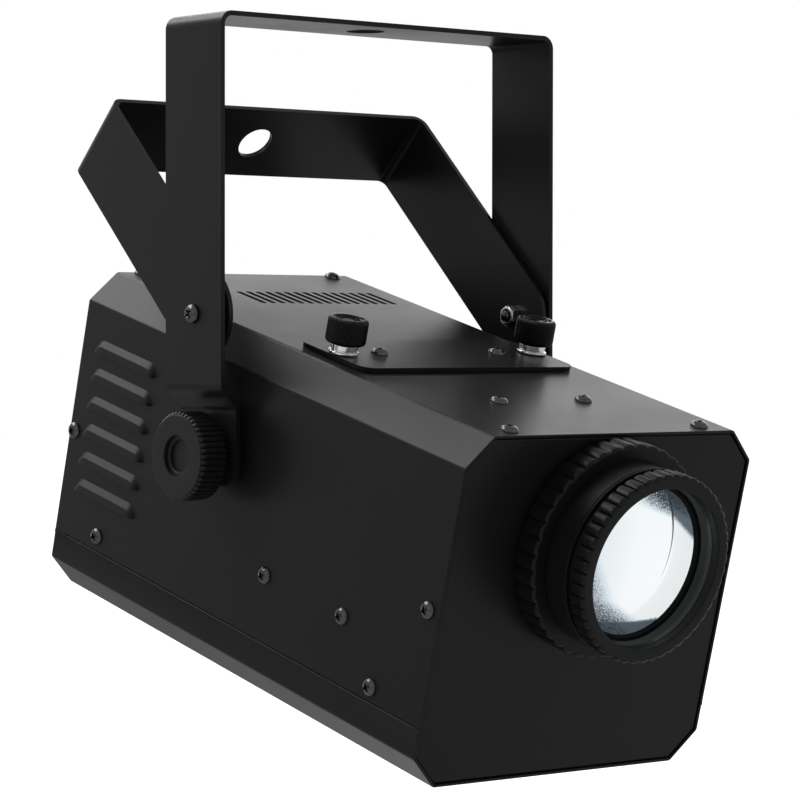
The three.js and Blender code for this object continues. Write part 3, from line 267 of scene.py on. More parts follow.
# %% [markdown]
# ## Finishes
# Every finish is wired from nodes. Two helpers keep that short: one adds a node and feeds its
# inputs, and a Flow is a number on its way between nodes, which can be reckoned with as usual.

# %% Node helpers
def feed(socket, value):
    """Links what flows to this input, or sets the input to a plain value."""
    value = getattr(value, "socket", value)
    if isinstance(value, bpy.types.NodeSocket):
        socket.id_data.links.new(value, socket)
    else:
        socket.default_value = value


def wire(node, **values):
    """Sets a node's properties and feeds its inputs, by name."""
    for key, value in values.items():
        if key in node.bl_rna.properties:
            setattr(node, key, value)
        else:
            feed(node.inputs[key.replace("_", " ")], value)
    return node


def add(tree, kind, **values):
    return wire(tree.nodes.new(kind), **values)


class Flow:
    def __init__(self, tree, socket):
        self.tree, self.socket = tree, socket

    def math(self, operation, *others, clamp=False):
        node = add(self.tree, "ShaderNodeMath", operation=operation, use_clamp=clamp)
        for socket, value in zip(node.inputs, (self, *others)):
            feed(socket, value)
        return Flow(self.tree, node.outputs[0])

    def __add__(self, other):
        return self.math("ADD", other)

    def __sub__(self, other):
        return self.math("SUBTRACT", other)

    def __mul__(self, other):
        return self.math("MULTIPLY", other)

    def most(self, *others):
        largest = self
        for other in others:
            largest = largest.math("MAXIMUM", other)
        return largest


def axes(tree, vector):
    return [Flow(tree, out) for out in add(tree, "ShaderNodeSeparateXYZ", Vector=vector).outputs]


def mixed(tree, kind, factor, low, high):
    """A Mix node. Its sockets for numbers start at 2, and those for colours at 6."""
    first, out = {"FLOAT": (2, 0), "RGBA": (6, 2)}[kind]
    mix = add(tree, "ShaderNodeMix", data_type=kind)
    for index, value in ((0, factor), (first, low), (first + 1, high)):
        feed(mix.inputs[index], value)
    return mix.outputs[out]


def new_group(kind, name, inputs, outputs):
    """A node group and its own sockets, each given as a label, a kind and perhaps a value."""
    group = bpy.data.node_groups.new(name, kind)
    for way, sockets in (("INPUT", inputs), ("OUTPUT", outputs)):
        for label, carries, *value in sockets:
            socket = group.interface.new_socket(label, in_out=way,
                                                socket_type="NodeSocket" + carries)
            if value:
                socket.default_value = value[0]
    return group, add(group, "NodeGroupInput").outputs, add(group, "NodeGroupOutput").inputs


print("nodes are added and fed in one line each")

# %% [markdown]
# Powder coat isn't a flat black. It has a fine orange peel, and its gloss changes a little where
# hands go. The moulded plastic has the same two effects at another scale, so each is a node group
# with named inputs. Turned parts get a third group: fine rings round their axis.

# %% Shared effects
def make_grain():
    group, given, result = new_group(
        "ShaderNodeTree", "Fine grain",
        [("Vector", "Vector"), ("Scale", "Float", 2500.0), ("Softness", "Float", 0.5)],
        [("Height", "Float")],
    )
    place = {"Vector": given["Vector"], "Scale": given["Scale"]}
    noise = add(group, "ShaderNodeTexNoise", Detail=3.0, **place).outputs["Fac"]
    cells = add(group, "ShaderNodeTexVoronoi", feature="SMOOTH_F1", **place).outputs["Distance"]
    feed(result["Height"], mixed(group, "FLOAT", given["Softness"], cells, noise))
    return group


def make_gloss_drift():
    group, given, result = new_group(
        "ShaderNodeTree", "Gloss drift",
        [("Vector", "Vector"), ("Scale", "Float", 14.0), ("Lowest", "Float", 0.4),
         ("Highest", "Float", 0.5)],
        [("Roughness", "Float"), ("Mask", "Float")],
    )
    noise = add(group, "ShaderNodeTexNoise", Detail=5.0, Roughness=0.6, Vector=given["Vector"],
                Scale=given["Scale"]).outputs["Fac"]
    spread = add(group, "ShaderNodeMapRange", From_Min=0.3, From_Max=0.7, Value=noise,
                 To_Min=given["Lowest"], To_Max=given["Highest"])
    feed(result["Roughness"], spread.outputs[0])
    feed(result["Mask"], noise)
    return group


def make_turning():
    group, given, result = new_group(
        "ShaderNodeTree", "Turning marks",
        [("Vector", "Vector"), ("Pitch", "Float", 9000.0)],
        [("Height", "Float"), ("Mask", "Float")],
    )
    x, y, z = axes(group, given["Vector"])
    along = (x * x + y * y).math("SQRT") + z
    ripple = (along * given["Pitch"]).math("SINE")
    noise = add(group, "ShaderNodeTexNoise", noise_dimensions="1D", Scale=900.0, Detail=2.0,
                W=along).outputs[0]
    feed(result["Height"], (ripple + 1.0) * noise)
    feed(result["Mask"], noise)
    return group


GRAIN, DRIFT, TURNING = make_grain(), make_gloss_drift(), make_turning()
print("shared effects:", GRAIN.name, "|", DRIFT.name, "|", TURNING.name)

# %% [markdown]
# Every finish is one Principled shader. What is the same all over is set on the shader itself, and
# only what changes comes from the groups: the tone, the gloss and the bump. A turned finish has its
# pattern centred on the part's axis by a Mapping node.

# %% Material helper
def new_material(name, **values):
    """A material, its tree, its shader with these values, and the object's own coordinates."""
    material = bpy.data.materials.new(name)
    material.use_nodes = True
    tree = material.node_tree
    shader = wire(tree.nodes["Principled BSDF"], **values)
    return material, tree, shader, add(tree, "ShaderNodeTexCoord").outputs["Object"]


def centred(tree, vector, matrix, scale):
    """Coordinates in the frame of a turned part."""
    return add(tree, "ShaderNodeMapping", vector_type="TEXTURE", Vector=vector, Scale=(scale,) * 3,
               Location=matrix.translation * 0.001, Rotation=matrix.to_euler()).outputs[0]


def drifting(tree, vector, scale, lowest, highest):
    return add(tree, "ShaderNodeGroup", node_tree=DRIFT, Vector=vector, Scale=scale, Lowest=lowest,
               Highest=highest).outputs


def make_finish(name, colour, tone, gloss, grain, metallic=0.0, specular=0.5, turned=None,
                drift=14.0):
    material, tree, shader, vector = new_material(
        name, Metallic=metallic, Specular_IOR_Level=specular)
    dull = drifting(tree, vector, drift, *gloss)
    scale, depth = grain
    if turned:
        skin = add(tree, "ShaderNodeGroup", node_tree=TURNING, Pitch=scale,
                   Vector=centred(tree, vector, turned, 1))
        change = skin.outputs["Mask"]
    else:
        skin = add(tree, "ShaderNodeGroup", node_tree=GRAIN, Scale=scale, Vector=vector)
        change = dull["Mask"]
    bump = add(tree, "ShaderNodeBump", Strength=1.0, Distance=depth, Height=skin.outputs["Height"])
    darker, lighter = ([c * share for c in colour] + [1] for share in (1 - tone, 1 + tone))
    wire(shader, Roughness=dull["Roughness"], Normal=bump.outputs[0],
         Base_Color=mixed(tree, "RGBA", change, darker, lighter))
    return material


print("a finish takes its colour, gloss and grain")

# %% [markdown]
# The blacks differ by how dull they are more than by their tone: the coat and the mouldings are
# satin, the thumbscrews' heads glossy, the spacers dull. Nickel, zinc and blackened steel are
# metal. The lens's three blacks have turning marks round its axis.

# %% Finishes
POWDER = make_finish(
    "powder coat", (0.0068, 0.0068, 0.007), 0.12, (0.3, 0.36), (1900, 0.00003), specular=0.09)
PLASTIC = make_finish(
    "moulded plastic", (0.0068, 0.0068, 0.007), 0.15, (0.34, 0.44), (3200, 0.00002), specular=0.115)
GRIP = make_finish(
    "ring plastic", (0.0055, 0.0056, 0.0058), 0.15, (0.3, 0.38), (3200, 0.000015), specular=0.08)
HEAD = make_finish(
    "gloss plastic", (0.003, 0.003, 0.0032), 0.1, (0.14, 0.2), (3600, 0.00001), specular=0.1)
SPACER = make_finish(
    "spacer plastic", (0.003, 0.003, 0.0032), 0.1, (0.5, 0.6), (3000, 0.00002), specular=0.1)

NICKEL = make_finish(
    "nickel plate", (0.5, 0.5, 0.49), 0.05, (0.12, 0.2), (4000, 0.000004), 1.0, drift=60)
ZINC = make_finish(
    "zinc plate", (0.52, 0.53, 0.54), 0.12, (0.24, 0.34), (2600, 0.00001), 1.0, drift=80)
BLACK_STEEL = make_finish(
    "blackened steel", (0.05, 0.05, 0.051), 0.15, (0.12, 0.18), (2600, 0.000005), 1.0, drift=80)
ALUMINIUM = make_finish(
    "extruded aluminium", (0.55, 0.56, 0.57), 0.08, (0.4, 0.5), (2200, 0.00002), 1.0)

ANODISED = make_finish("black anodised", (0.004, 0.004, 0.0042), 0.1, (0.38, 0.46),
                       (9000, 0.000012), specular=0.1, turned=LENS)
TURNED_BLACK = make_finish("turned black", (0.007, 0.0095, 0.0105), 0.1, (0.24, 0.32),
                           (9000, 0.000008), specular=0.24, turned=LENS)
# The lens cell's finish is darker and duller than the other blacks: partly its own black, partly
# painted shade for the gap round the glass.
CELL_BLACK_AND_SHADE = make_finish("lens cell black and painted shade", (0.002, 0.0022, 0.0024), 0.1, (0.3, 0.4),
                         (9000, 0.000008), specular=0.05, turned=LENS)

BOARD = make_finish("solder mask", (0.012, 0.09, 0.035), 0.15, (0.25, 0.35), (1500, 0.00001))
WHITE_BOARD = make_finish(
    "white solder mask", (0.72, 0.74, 0.74), 0.04, (0.35, 0.45), (1500, 0.00001))
PHOSPHOR = make_finish("phosphor", (0.76, 0.6, 0.09), 0.08, (0.5, 0.6), (3500, 0.00002))
print("finishes:", len(bpy.data.materials))

# %% [markdown]
# The objective is coated optical glass with the zoom lens group close behind it. In the photograph
# it is the brightest thing in the picture: a cold white disc, speckled blue-grey along its upper,
# left and lower rim, a smooth grey segment at the upper right, and one thin dark arc that bounds
# it. All of that is a painted reflection: the glass glows by its emission, though it is no lamp,
# and the painted shade over the glow is drawn in the lens's own millimetres: a few soft masks,
# broken up by a fine noise.

# %% Glass
ARC_X, ARC_Y, ARC_RADIUS = -25.8, 9.0, 39.8


def make_glass():
    glass, tree, shader, vector = new_material(
        "lens glass", Transmission_Weight=1.0, IOR=1.5, Base_Color=(0.97, 0.985, 1.0, 1))
    wire(shader, Roughness=drifting(tree, vector, 60, 0.0, 0.03)["Roughness"])
    return glass


def painted_lens_shade(tree, vector):
    """How dark the painted reflection on the lens is at each of its points, from 0 to 1."""
    x, y, _ = axes(tree, vector)

    def past(across, up, start, width, y=y):
        """0 before a line in the lens's plane and 1 past it: across * x + up * y from start."""
        return (x * across + y * up - start).math("MULTIPLY", 1 / width, clamp=True)

    # The speckle noise breaks up the painted shade over the glass's glow.
    speckle = add(tree, "ShaderNodeTexNoise", Scale=1.9, Detail=4.0, Roughness=0.75, Vector=vector)
    grain = (Flow(tree, speckle.outputs["Fac"]) - 0.42) * 1.6
    left = past(-0.84, -0.54, 16.0, 14) * 0.35
    rim = past(-0.45, -0.89, 17.5, 9) * 0.5
    top = past(0.29, 0.957, 19.5, 10) * past(1.0, 0.0, -12.0, 18)
    soft = rim.most(top, left) * (grain * 7.0 + 1.0) + past(-1.0, 0.0, -2.0, 24) * 0.16

    across, up = x - ARC_X, y - ARC_Y
    beyond = (across * across + up * up).math("SQRT") - ARC_RADIUS
    ragged = y + grain * 2.5
    segment = past(0.55, 0.835, 21.2, 2.0, ragged) * beyond.math("GREATER_THAN", 0.0)
    deeper = past(0.3, 0.95, 21.0, 12) * 0.3 + 0.65
    low = past(0.0, -1.0, 23.2, 0.8, ragged) * 0.8
    width = (y + 7.0).math("MULTIPLY", 0.021, clamp=True)
    line = beyond.math("ABSOLUTE").math("LESS_THAN", width)
    return soft.most(segment * deeper, low, line)


def make_painted_glow_glass():
    # Painted reflection: the glass glows by its emission, though it is no lamp, white where the
    # painted shade is low and blue-grey to near black where it is high.
    glass, tree, shader, vector = new_material(
        "lens glass with painted glow", Base_Color=(0.02, 0.025, 0.03, 1), Roughness=0.22, Coat_Weight=0.7,
        Coat_Roughness=0.04, Emission_Strength=0.9)
    shade = painted_lens_shade(tree, centred(tree, vector, LENS, 0.001))
    ramp = add(tree, "ShaderNodeValToRGB", Fac=shade)
    stops = ramp.color_ramp.elements
    stops[0].position, stops[0].color = 0.05, (0.94, 0.975, 0.98, 1)
    stops[1].position, stops[1].color = 1.0, (0.03, 0.04, 0.05, 1)
    stops.new(0.25).color = (0.68, 0.78, 0.83, 1)
    stops.new(0.6).color = (0.13, 0.165, 0.19, 1)
    wire(shader, Emission_Color=ramp.outputs[0])
    return glass


GLASS, PAINTED_GLOW_GLASS = make_glass(), make_painted_glow_glass()
print("glass:", GLASS.name, "|", PAINTED_GLOW_GLASS.name)

# %% [markdown]
# ## The yokes
# Each yoke is one strip of 2 mm steel, bent in a press at the crossbar's corners, and on the main
# yoke also at the joggle, which brings the tabs in to the housing. Such a strip is its front view
# run across its width. The arms' rounded ends come from a second outline, seen from the side, and
# what the two have in common is the yoke.

# %% Bent strip
def bent_strip(corners, thickness, steps=10):
    """Outline of a bent strip whose centre line runs through corners (x, y, inner radius)."""
    half = thickness / 2
    line, out = [], []
    points = [Vector(c[:2]) for c in corners]
    for i, corner in enumerate(points):
        before = (corner - points[i - 1]).normalized() if i else None
        after = (points[i + 1] - corner).normalized() if i < len(points) - 1 else None
        if before is None or after is None:
            along = before or after
            line.append(corner)
            out.append(Vector((-along.y, along.x)))
            continue
        radius = corners[i][2] + half
        turn = math.atan2(before.x * after.y - before.y * after.x, before.dot(after))
        start = corner - before * (radius * math.tan(abs(turn) / 2))
        sign = math.copysign(1, turn)
        middle = start + Vector((-before.y, before.x)) * sign * radius
        for k in range(steps + 1):
            arm = (start - middle).copy()
            arm.rotate(Matrix.Rotation(turn * k / steps, 2))
            line.append(middle + arm)
            out.append(-arm.normalized() * sign)
    return [tuple(p + o * half) for p, o in zip(line, out)] + [
        tuple(p - o * half) for p, o in reversed(list(zip(line, out)))
    ]


print("a strip can be bent")

# %% The two yokes
STRIP, CLAMP_HOLE, BOLT_HOLE, STUD_HOLE = 2, 8, 2.7, 4.2


def punched_strip(corners, half, sides, holes):
    """A bent strip of this half width, with its arms' ends cut to an outline and its holes."""
    strip = prism("strip", bent_strip(corners, STRIP), -half, half, "Y")
    boolean(strip, [prism("arms", sides, -95, 95, "X")], "INTERSECT")
    return soften(boolean(strip, holes), 0.3, 3)


def make_main_yoke():
    arm, tab, foot, joggle, half = 88.03, 80.53, -189.1, -157.4, 18.675
    left = [(-tab, foot), (-tab, joggle, 3), (-arm, joggle + 7.5, 3), (-arm, -STRIP / 2, 3.5)]
    right = [(-x, z, *bend) for x, z, *bend in reversed(left)]
    sides = fillet([(-half, foot, 8), (half, foot, 8), (half, 4), (-half, 4)], 10)
    holes = [rod(CLAMP_HOLE, -6, 4)]
    for side in SIDES.values():
        holes.append(rod(STUD_HOLE, 70, 95, KNOB_AXIS @ outward(side)))
        holes.append(rod(BOLT_HOLE, 80, 95, HINGE_AXIS @ outward(side)))
    return punched_strip(left + right, half, sides, holes)


def make_second_yoke():
    arm, half, top, end = 84.03, 18.8, 107.7, 18.79
    corners = [(-arm, -half), (-arm, top, 3.5), (arm, top, 3.5), (arm, -half)]
    sides = fillet([(-half, -half, end), (half, -half, end), (half, 112), (-half, 112)], 20)
    holes = [rod(BOLT_HOLE, 78, 92, outward(side)) for side in SIDES.values()]
    return punched_strip(corners, half, sides, [rod(CLAMP_HOLE, 100, 114), *holes])


finish_piece(make_main_yoke(), "yoke_strip", ROOM, "yoke", POWDER, "powder_coat", "main_yoke")
finish_piece(make_second_yoke(), "second_yoke_strip", SECOND_YOKE, "second_yoke", POWDER,
             "powder_coat", "second_yoke")
print("yokes bent and punched")

# %% [markdown]
# ## Copies in a row, on points and round a rim
# Louvres, vents, screws and flutes repeat, so Geometry Nodes makes them. One tree sets copies of a
# piece along a step, a second sets them on marked points and turns them to each point's direction,
# and a third presses flutes into a turned body by one rule: each point sinks by how far it lies
# from the crown of its flute.

# %% Geometry Nodes trees
def new_tree(name, *inputs):
    body = ("Geometry", "Geometry")
    return new_group("GeometryNodeTree", name, [body, *inputs, ("Material", "Material")], [body])


def close_tree(tree, given, result, geometry):
    real = add(tree, "GeometryNodeRealizeInstances", Geometry=geometry).outputs[0]
    finish = add(tree, "GeometryNodeSetMaterial", Geometry=real, Material=given["Material"])
    feed(result["Geometry"], finish.outputs[0])
    return tree


def named(tree, kind, name):
    return add(tree, "GeometryNodeInputNamedAttribute", data_type=kind, Name=name).outputs[0]


def instances(tree, piece, points, **turned):
    shape = add(tree, "GeometryNodeObjectInfo", Object=piece).outputs["Geometry"]
    return add(tree, "GeometryNodeInstanceOnPoints", Points=points, Instance=shape,
               **turned).outputs[0]


def row_tree():
    tree, given, result = new_tree(
        "Row of copies", ("Piece", "Object"), ("Count", "Int"), ("Step", "Vector"))
    line = add(tree, "GeometryNodeMeshLine", Count=given["Count"], Offset=given["Step"]).outputs[0]
    return close_tree(tree, given, result, instances(tree, given["Piece"], line))


def seat_tree():
    tree, given, result = new_tree("Copies on points", ("Piece", "Object"))
    turn = add(tree, "FunctionNodeAlignRotationToVector", axis="Z",
               Vector=named(tree, "FLOAT_VECTOR", "facing")).outputs[0]
    copies = instances(tree, given["Piece"], given["Geometry"], Rotation=turn)
    return close_tree(tree, given, result, copies)


def flute_tree():
    tree, given, result = new_tree(
        "Pressed flutes", ("Count", "Int"), ("Depth", "Float"), ("Power", "Float"))
    x, y, _ = axes(tree, add(tree, "GeometryNodeInputPosition").outputs[0])
    angle = y.math("ARCTAN2", x)
    flutes = Flow(tree, given["Count"]).math("DIVIDE", 2.0)
    crown = (angle * flutes).math("SINE").math("ABSOLUTE").math("POWER", given["Power"])
    inward = (crown - 1.0) * named(tree, "FLOAT", "flute") * given["Depth"]
    way = add(tree, "ShaderNodeCombineXYZ", X=angle.math("COSINE") * inward,
              Y=angle.math("SINE") * inward).outputs[0]
    move = add(tree, "GeometryNodeSetPosition", Geometry=given["Geometry"], Offset=way)
    return close_tree(tree, given, result, move.outputs[0])


def run_tree(piece, tree, **values):
    step = piece.modifiers.new("nodes", "NODES")
    step.node_group = tree
    for socket in tree.interface.items_tree:
        if socket.in_out == "INPUT" and socket.name in values:
            step[socket.identifier] = values[socket.name]
    return flatten(piece)


ROW, SEATS, FLUTES = row_tree(), seat_tree(), flute_tree()
print("trees:", ROW.name, "|", SEATS.name, "|", FLUTES.name)

# %% Use the trees
def row_of(piece, count, step):
    """Copies of a piece along a step, as one plain mesh. The piece itself is removed."""
    carrier = link_new("row", bpy.data.meshes.new("row"))
    run_tree(carrier, ROW, Material=POWDER, Piece=piece, Count=count, Step=step)
    bpy.data.objects.remove(piece)
    return carrier


def seated(piece, seats, material):
    """Copies of a piece on (point, direction) seats, likewise."""
    mesh = bpy.data.meshes.new("seats")
    mesh.from_pydata([place for place, facing in seats], [], [])
    facing = mesh.attributes.new("facing", "FLOAT_VECTOR", "POINT")
    facing.data.foreach_set("vector", [v for place, way in seats for v in way])
    carrier = run_tree(link_new("seats", mesh), SEATS, Material=material, Piece=piece)
    bpy.data.objects.remove(piece)
    return smooth(carrier, 40)


def near(radius, level, *steps):
    """Stations near a corner of a turned body, from (how far in, how far down, share)."""
    return [(radius - inward, level - down, share) for inward, down, share in steps]


def fluted(name, stations, count, depth, material, per_flute=10, power=0.65):
    """Turns (radius, height, share) stations and presses the flutes in by each station's share."""
    steps = count * per_flute
    body = lathe(name, [(r, z) for r, z, share in stations], steps)
    shares = [share for r, z, share in stations for _ in range(1 if r < 1e-6 else steps)]
    body.data.attributes.new("flute", "FLOAT", "POINT").data.foreach_set("value", shares)
    run_tree(body, FLUTES, Material=material, Count=count, Depth=depth, Power=power)
    return smooth(body, 38)


print("rows, seats and flutes ready")

# %% [markdown]
# ## The shell
# The cover and the tray are folded from 1.2 mm sheet: a box with its four long edges cut at 45
# degrees. The folds have a small radius.

# %% Folded sheet
SHEET, FOLD, CHAMFER = 1.2, 0.9, 12.3


def octagon(inset):
    cut = CHAMFER - inset * (2 - math.sqrt(2))
    x, top, bottom = SIDE - inset, ROOF - inset, BELLY + inset
    right = [(x - cut, top), (x, top - cut), (x, bottom + cut), (x - cut, bottom)]
    return right + [(-a, b) for a, b in reversed(right)]


def folded(name, edge, corners):
    """Sheet folded round some of the octagon's corners, from an edge on one side to the other."""
    line, x = octagon(SHEET / 2), SIDE - SHEET / 2
    path = [(x, edge)] + [(*line[i], FOLD) for i in corners] + [(-x, edge)]
    return prism(name, bent_strip(path, SHEET, 4), FRONT, BACK, "Y")


print("folded sheet ready")

# %% [markdown]
# The cover's louvres are pressed: the sheet is slit along a line and pushed out above it, so each
# louvre blends into the wall along its top and ends and stands open below. A grid of sections along
# the louvre gives that form better than any straight hood, and the hollow is the same form moved in
# by the sheet.

# %% Louvres
RISE, CORNER, START, LENGTH = 5.8, 5.0, 52.2, 43.1
SWELL, SKIN, SPACING = 1.3, 0.9, 12.2
DEPTHS = [5.8, 4.2, 3.35, 3.1, 2.9, 2.7, 2.5, 2.1, 1.4, 0.8, 0.45, 0.25, 0.1, 0, -0.12]
NEAR_END = [0, 0.08, 0.2, 0.4, 0.65, 0.95, 1.3, 1.8, 2.5, 3.3, 4.1, 5.2]
BEND = fillet([(0, -0.6), (0, 0, 0.5), (1.89, 2.9, 0.9), (2.3, 6.4)], 5, False)


def out_at(depth):
    """How far the louvre stands out at a depth below its top: a slope, a knee, a steep skirt."""
    for (a, low), (b, high) in zip(BEND, BEND[1:]):
        if low <= depth <= high:
            return a + (b - a) * (depth - low) / (high - low)
    return BEND[-1][0]


def louvre_section(side, lower, hollow, u):
    """The closed section at u along the louvre."""
    sheet = SKIN if hollow else 0.0
    edge = max(min(u, LENGTH - u), sheet)
    near = max(0.0, CORNER - edge)
    top = RISE - CORNER + math.sqrt(CORNER**2 - near**2)
    swell = math.sqrt(1 - (max(0.0, SWELL - edge) / SWELL) ** 2)
    y = START + (edge if u <= LENGTH / 2 else LENGTH - edge)
    face = []
    for depth in DEPTHS:
        depth = depth * top / RISE if depth > 0 else depth
        out = (out_at(depth) + 0.04) * swell - 0.04 - sheet
        face.append((SIDE + out, lower + max(top - depth - sheet, 0.01)))
    foot = [(74.1, lower)]
    if hollow:
        foot = [(71, lower), (75.05, lower), (75.05, lower - 1.5), (face[0][0], lower - 1.5)]
    return [(side * x, y, z) for x, z in [*foot, *face, (foot[0][0], face[-1][1])]]


def louvres(side, hollow):
    """A row of six, from sections at the ends' steps. Sections at the same place count once."""
    rings = []
    for u in NEAR_END + [LENGTH - p for p in reversed(NEAR_END)]:
        ring = louvre_section(side, 17.8, hollow, u)
        if not rings or abs(ring[0][1] - rings[-1][0][1]) > 1e-6:
            rings.append(ring)
    return row_of(loft("louvre", rings), 6, (0, 0, -SPACING))


print("louvre stands out by", round(out_at(RISE), 2), "mm")

# %% [markdown]
# The roof's vents are punched, and their upright walls take a second, dark and dull finish as
# painted shade, so the slots read dark inside. The plate's opening and the thumbscrews' holes are
# cut in the same go.

# %% Cover
THUMB_X, THUMB_Y = 50.2, -35.6


def shell_cover():
    cover = soften(folded("cover", -64.4, (1, 0, 7, 6)), 0.25, 2)
    cutters = []
    for side in SIDES.values():
        cutters += [louvres(side, True), rod(STUD_HOLE, 70, 80, outward(side)),
                    rod(BOLT_HOLE, 45, 53, shift(side * THUMB_X, THUMB_Y, 0))]
    boolean(cover, [louvres(side, False) for side in SIDES.values()], "UNION")
    vent = prism("vent", fillet(rectangle(-23.35, 54.3, -20.65, 74.4, 1.2), 4), 45, 53)
    cutters += [row_of(vent, 15, (5.1, 0, 0)), block((-37.5, -43.1, 45), (37.5, -28.1, 53))]
    return smooth(boolean(cover, cutters), 34)


def paint_vent_shade(cover):
    # Painted shade: the vents' upright walls get the dull black spacer finish in place of the
    # shadow inside the slots.
    cover.data.materials.append(SPACER)
    home = HOUSING.inverted()
    for face in cover.data.polygons:
        x, y, z = home @ (face.center * 1000)
        upright = abs((home.to_3x3() @ face.normal).z) < 0.5
        if upright and abs(x) < 51 and 54 < y < 75 and 48.65 < z < 49.75:
            face.material_index = 1


cover = finish_piece(shell_cover(), "cover_sheet", HOUSING, "housing", POWDER, "powder_coat",
                     "top_cover")
paint_vent_shade(cover)
print("cover faces:", len(cover.data.polygons))

# %% [markdown]
# The tray's laps are strips welded inside its edge, which stand up behind the cover's edge, and
# short tongues close the seam at both ends. The power supply's board stands on four posts.

# %% Tray
def make_tray():
    tray = soften(folded("tray", -64.8, (2, 3, 4, 5)), 0.45, 4)
    tongues = []
    for side in SIDES.values():
        for start, stop in ((FRONT, -142.3), (97.5, BACK)):
            inner, outer = sorted((side * 73.9, side * SIDE))
            tongues.append(block((inner, start, -66), (outer, stop, -64.42)))
    return boolean(tray, tongues, "UNION")


def make_laps():
    section = [(73.5, -52.4), (73.5, -65.1), (74.0, -65.1),
               (74.0, -66.3), (72.3, -66.3), (72.3, -52.4)]
    laps = prism("laps", section, -133, 95.6, "Y")
    other = prism("lap", [(-x, z) for x, z in reversed(section)], -133, 95.6, "Y")
    return boolean(laps, [other], "UNION")


def make_standoffs():
    one = lathe("standoff", fillet([(0, -88.3), (3, -88.3), (3, -81.8, 0.3), (0, -81.8)]), 32)
    return seated(one, [((x, y, 0), (0, 0, 1)) for x in (-36, 36) for y in (-33.05, 50.95)], POWDER)


for make, name in ((make_tray, "tray_sheet"), (make_laps, "tray_laps"),
                   (make_standoffs, "standoffs")):
    finish_piece(make(), name, HOUSING, "housing", POWDER, "powder_coat", "bottom_tray")

# %% [markdown]
# ## End panels
# Both ends are closed by a pan: a flat face whose rim is folded back into the shell and takes the
# side screws. The fold leaves a soft edge and a thin dark gap all round. The front pan has the
# barrel's hole, and the rear pan the fan's grille, the mains inlet's window and the fuse holder's
# hole.

# %% Pans
INLET, FUSE = (-33, 0, -57), (31, 0, -57)  # the tail's openings


def make_pan(name, face, way, rim):
    """A pan whose face looks along Y by way, with a soft edge round the face."""
    pan = prism(name, octagon(1.5), face, face - way * rim, "Y")
    bm = bmesh.new()
    bm.from_mesh(pan.data)
    edges = [e for e in bm.edges if all(abs(v.co.y - face) < 1e-4 for v in e.verts)]
    bmesh.ops.bevel(bm, geom=edges, offset=0.7, segments=4, profile=0.5, affect="EDGES")
    bm.to_mesh(pan.data)
    bm.free()
    hollow = prism("hollow", octagon(1.5 + SHEET), face - way * SHEET, face - way * (rim + 2), "Y")
    return boolean(pan, [hollow])


def grille_cutter():
    slots = [lathe("slot", rectangle(r - 3.3, -6, r, 6), 128) for r in (28, 22.5, 17)]
    first = boolean(slots[0], slots[1:], "UNION")
    boolean(first, [block((-30, -2, -7), (30, 2, 7)), block((-2, -30, -7), (2, 30, 7))])
    first.data.transform(shift(0, 105.5, LENS_UP) @ lean(90, "X"))
    return first


barrel_hole = rod(37.3, -4, 4, shift(0, -144.1, LENS_UP) @ lean(90, "X"), 128)
front = soften(boolean(make_pan("front", -144.7, -1, 11.4), [barrel_hole]), 0.15, 1, 60)
finish_piece(front, "front_pan", HOUSING, "housing", POWDER, "powder_coat", "front_panel")
rear = boolean(make_pan("rear", 106.1, 1, 10.2), [
    grille_cutter(),
    prism("window", rectangle(-48.3, -68.3, -17.7, -45.7), 100, 110, "Y"),
    rod(6.8, -5, 5, shift(FUSE[0], 105.5, FUSE[2]) @ lean(90, "X")),
])
finish_piece(smooth(rear), "rear_pan", HOUSING, "housing", POWDER, "powder_coat", "rear_panel")
print("pan faces:", len(front.data.polygons), len(rear.data.polygons))

# %% [markdown]
# ## Knobs and thumbscrews
# The tilt knobs are moulded with fine grip flutes that run out over the rounded front edge, and a
# stepped recess in the face. The thumbscrews have a plated collar and a finely ribbed black head
# with a dished top. Both heads come from the flute tree with their own counts.

# %% Tilt knobs
def make_knob():
    r, back, face = 17.9, 85.03, 97.43
    recess = ((8.75, 0), (8.4, 0.15), (8.25, 0.45), (8.2, 1.5), (6.9, 1.6), (6.6, 1.8), (6.45, 2.1),
              (6.4, 2.9), (6.1, 3), (0, 3))
    stations = [
        (0, 83.33, 0), (7.6, 83.33, 0), (8, 83.7, 0), (8, back, 0),
        *near(r, back, (1.2, 0, 0.2), (0.4, -0.25, 0.7), (0, -0.8, 1), (0, -4, 1)),
        *near(r, face, (0, 3, 1), (0, 1.7, 1), (0.15, 1.25, 1), (0.75, 0.55, 0.9), (1.15, 0.3, 0.6),
              (1.35, 0.3, 0), (1.5, 0.05, 0), (1.8, 0, 0)),
        *[(x, face - down, 0) for x, down in recess],
    ]
    return fluted("knob", stations, 46, 1.0, PLASTIC, 10, 0.8)


for word, side in SIDES.items():
    node = f"tilt_knob_{word}"
    where = HOUSING @ outward(side)
    finish_piece(make_knob(), f"knob_{word}", where, node, PLASTIC, "black_plastic", node)
    finish_piece(washer(4.2, 11, 75.3, 79.23, 0.4), f"spacer_{word}", where, "housing", SPACER,
                 "black_plastic", f"tilt_spacer_{word}")
    finish_piece(washer(4.2, 9, 81.83, 83.03, 0.25), f"washer_{word}", where, "housing",
                 BLACK_STEEL, "black_steel", f"knob_washer_{word}")

# %% Access plate and thumbscrews
def make_plate():
    plate = prism("plate", fillet(rectangle(-56.5, -57.6, 56.5, -13.6, 6), 8), 50.1, 51.9)
    holes = [rod(BOLT_HOLE, 48, 54, shift(side * THUMB_X, THUMB_Y, 0)) for side in SIDES.values()]
    return soften(boolean(plate, holes), 0.35, 3)


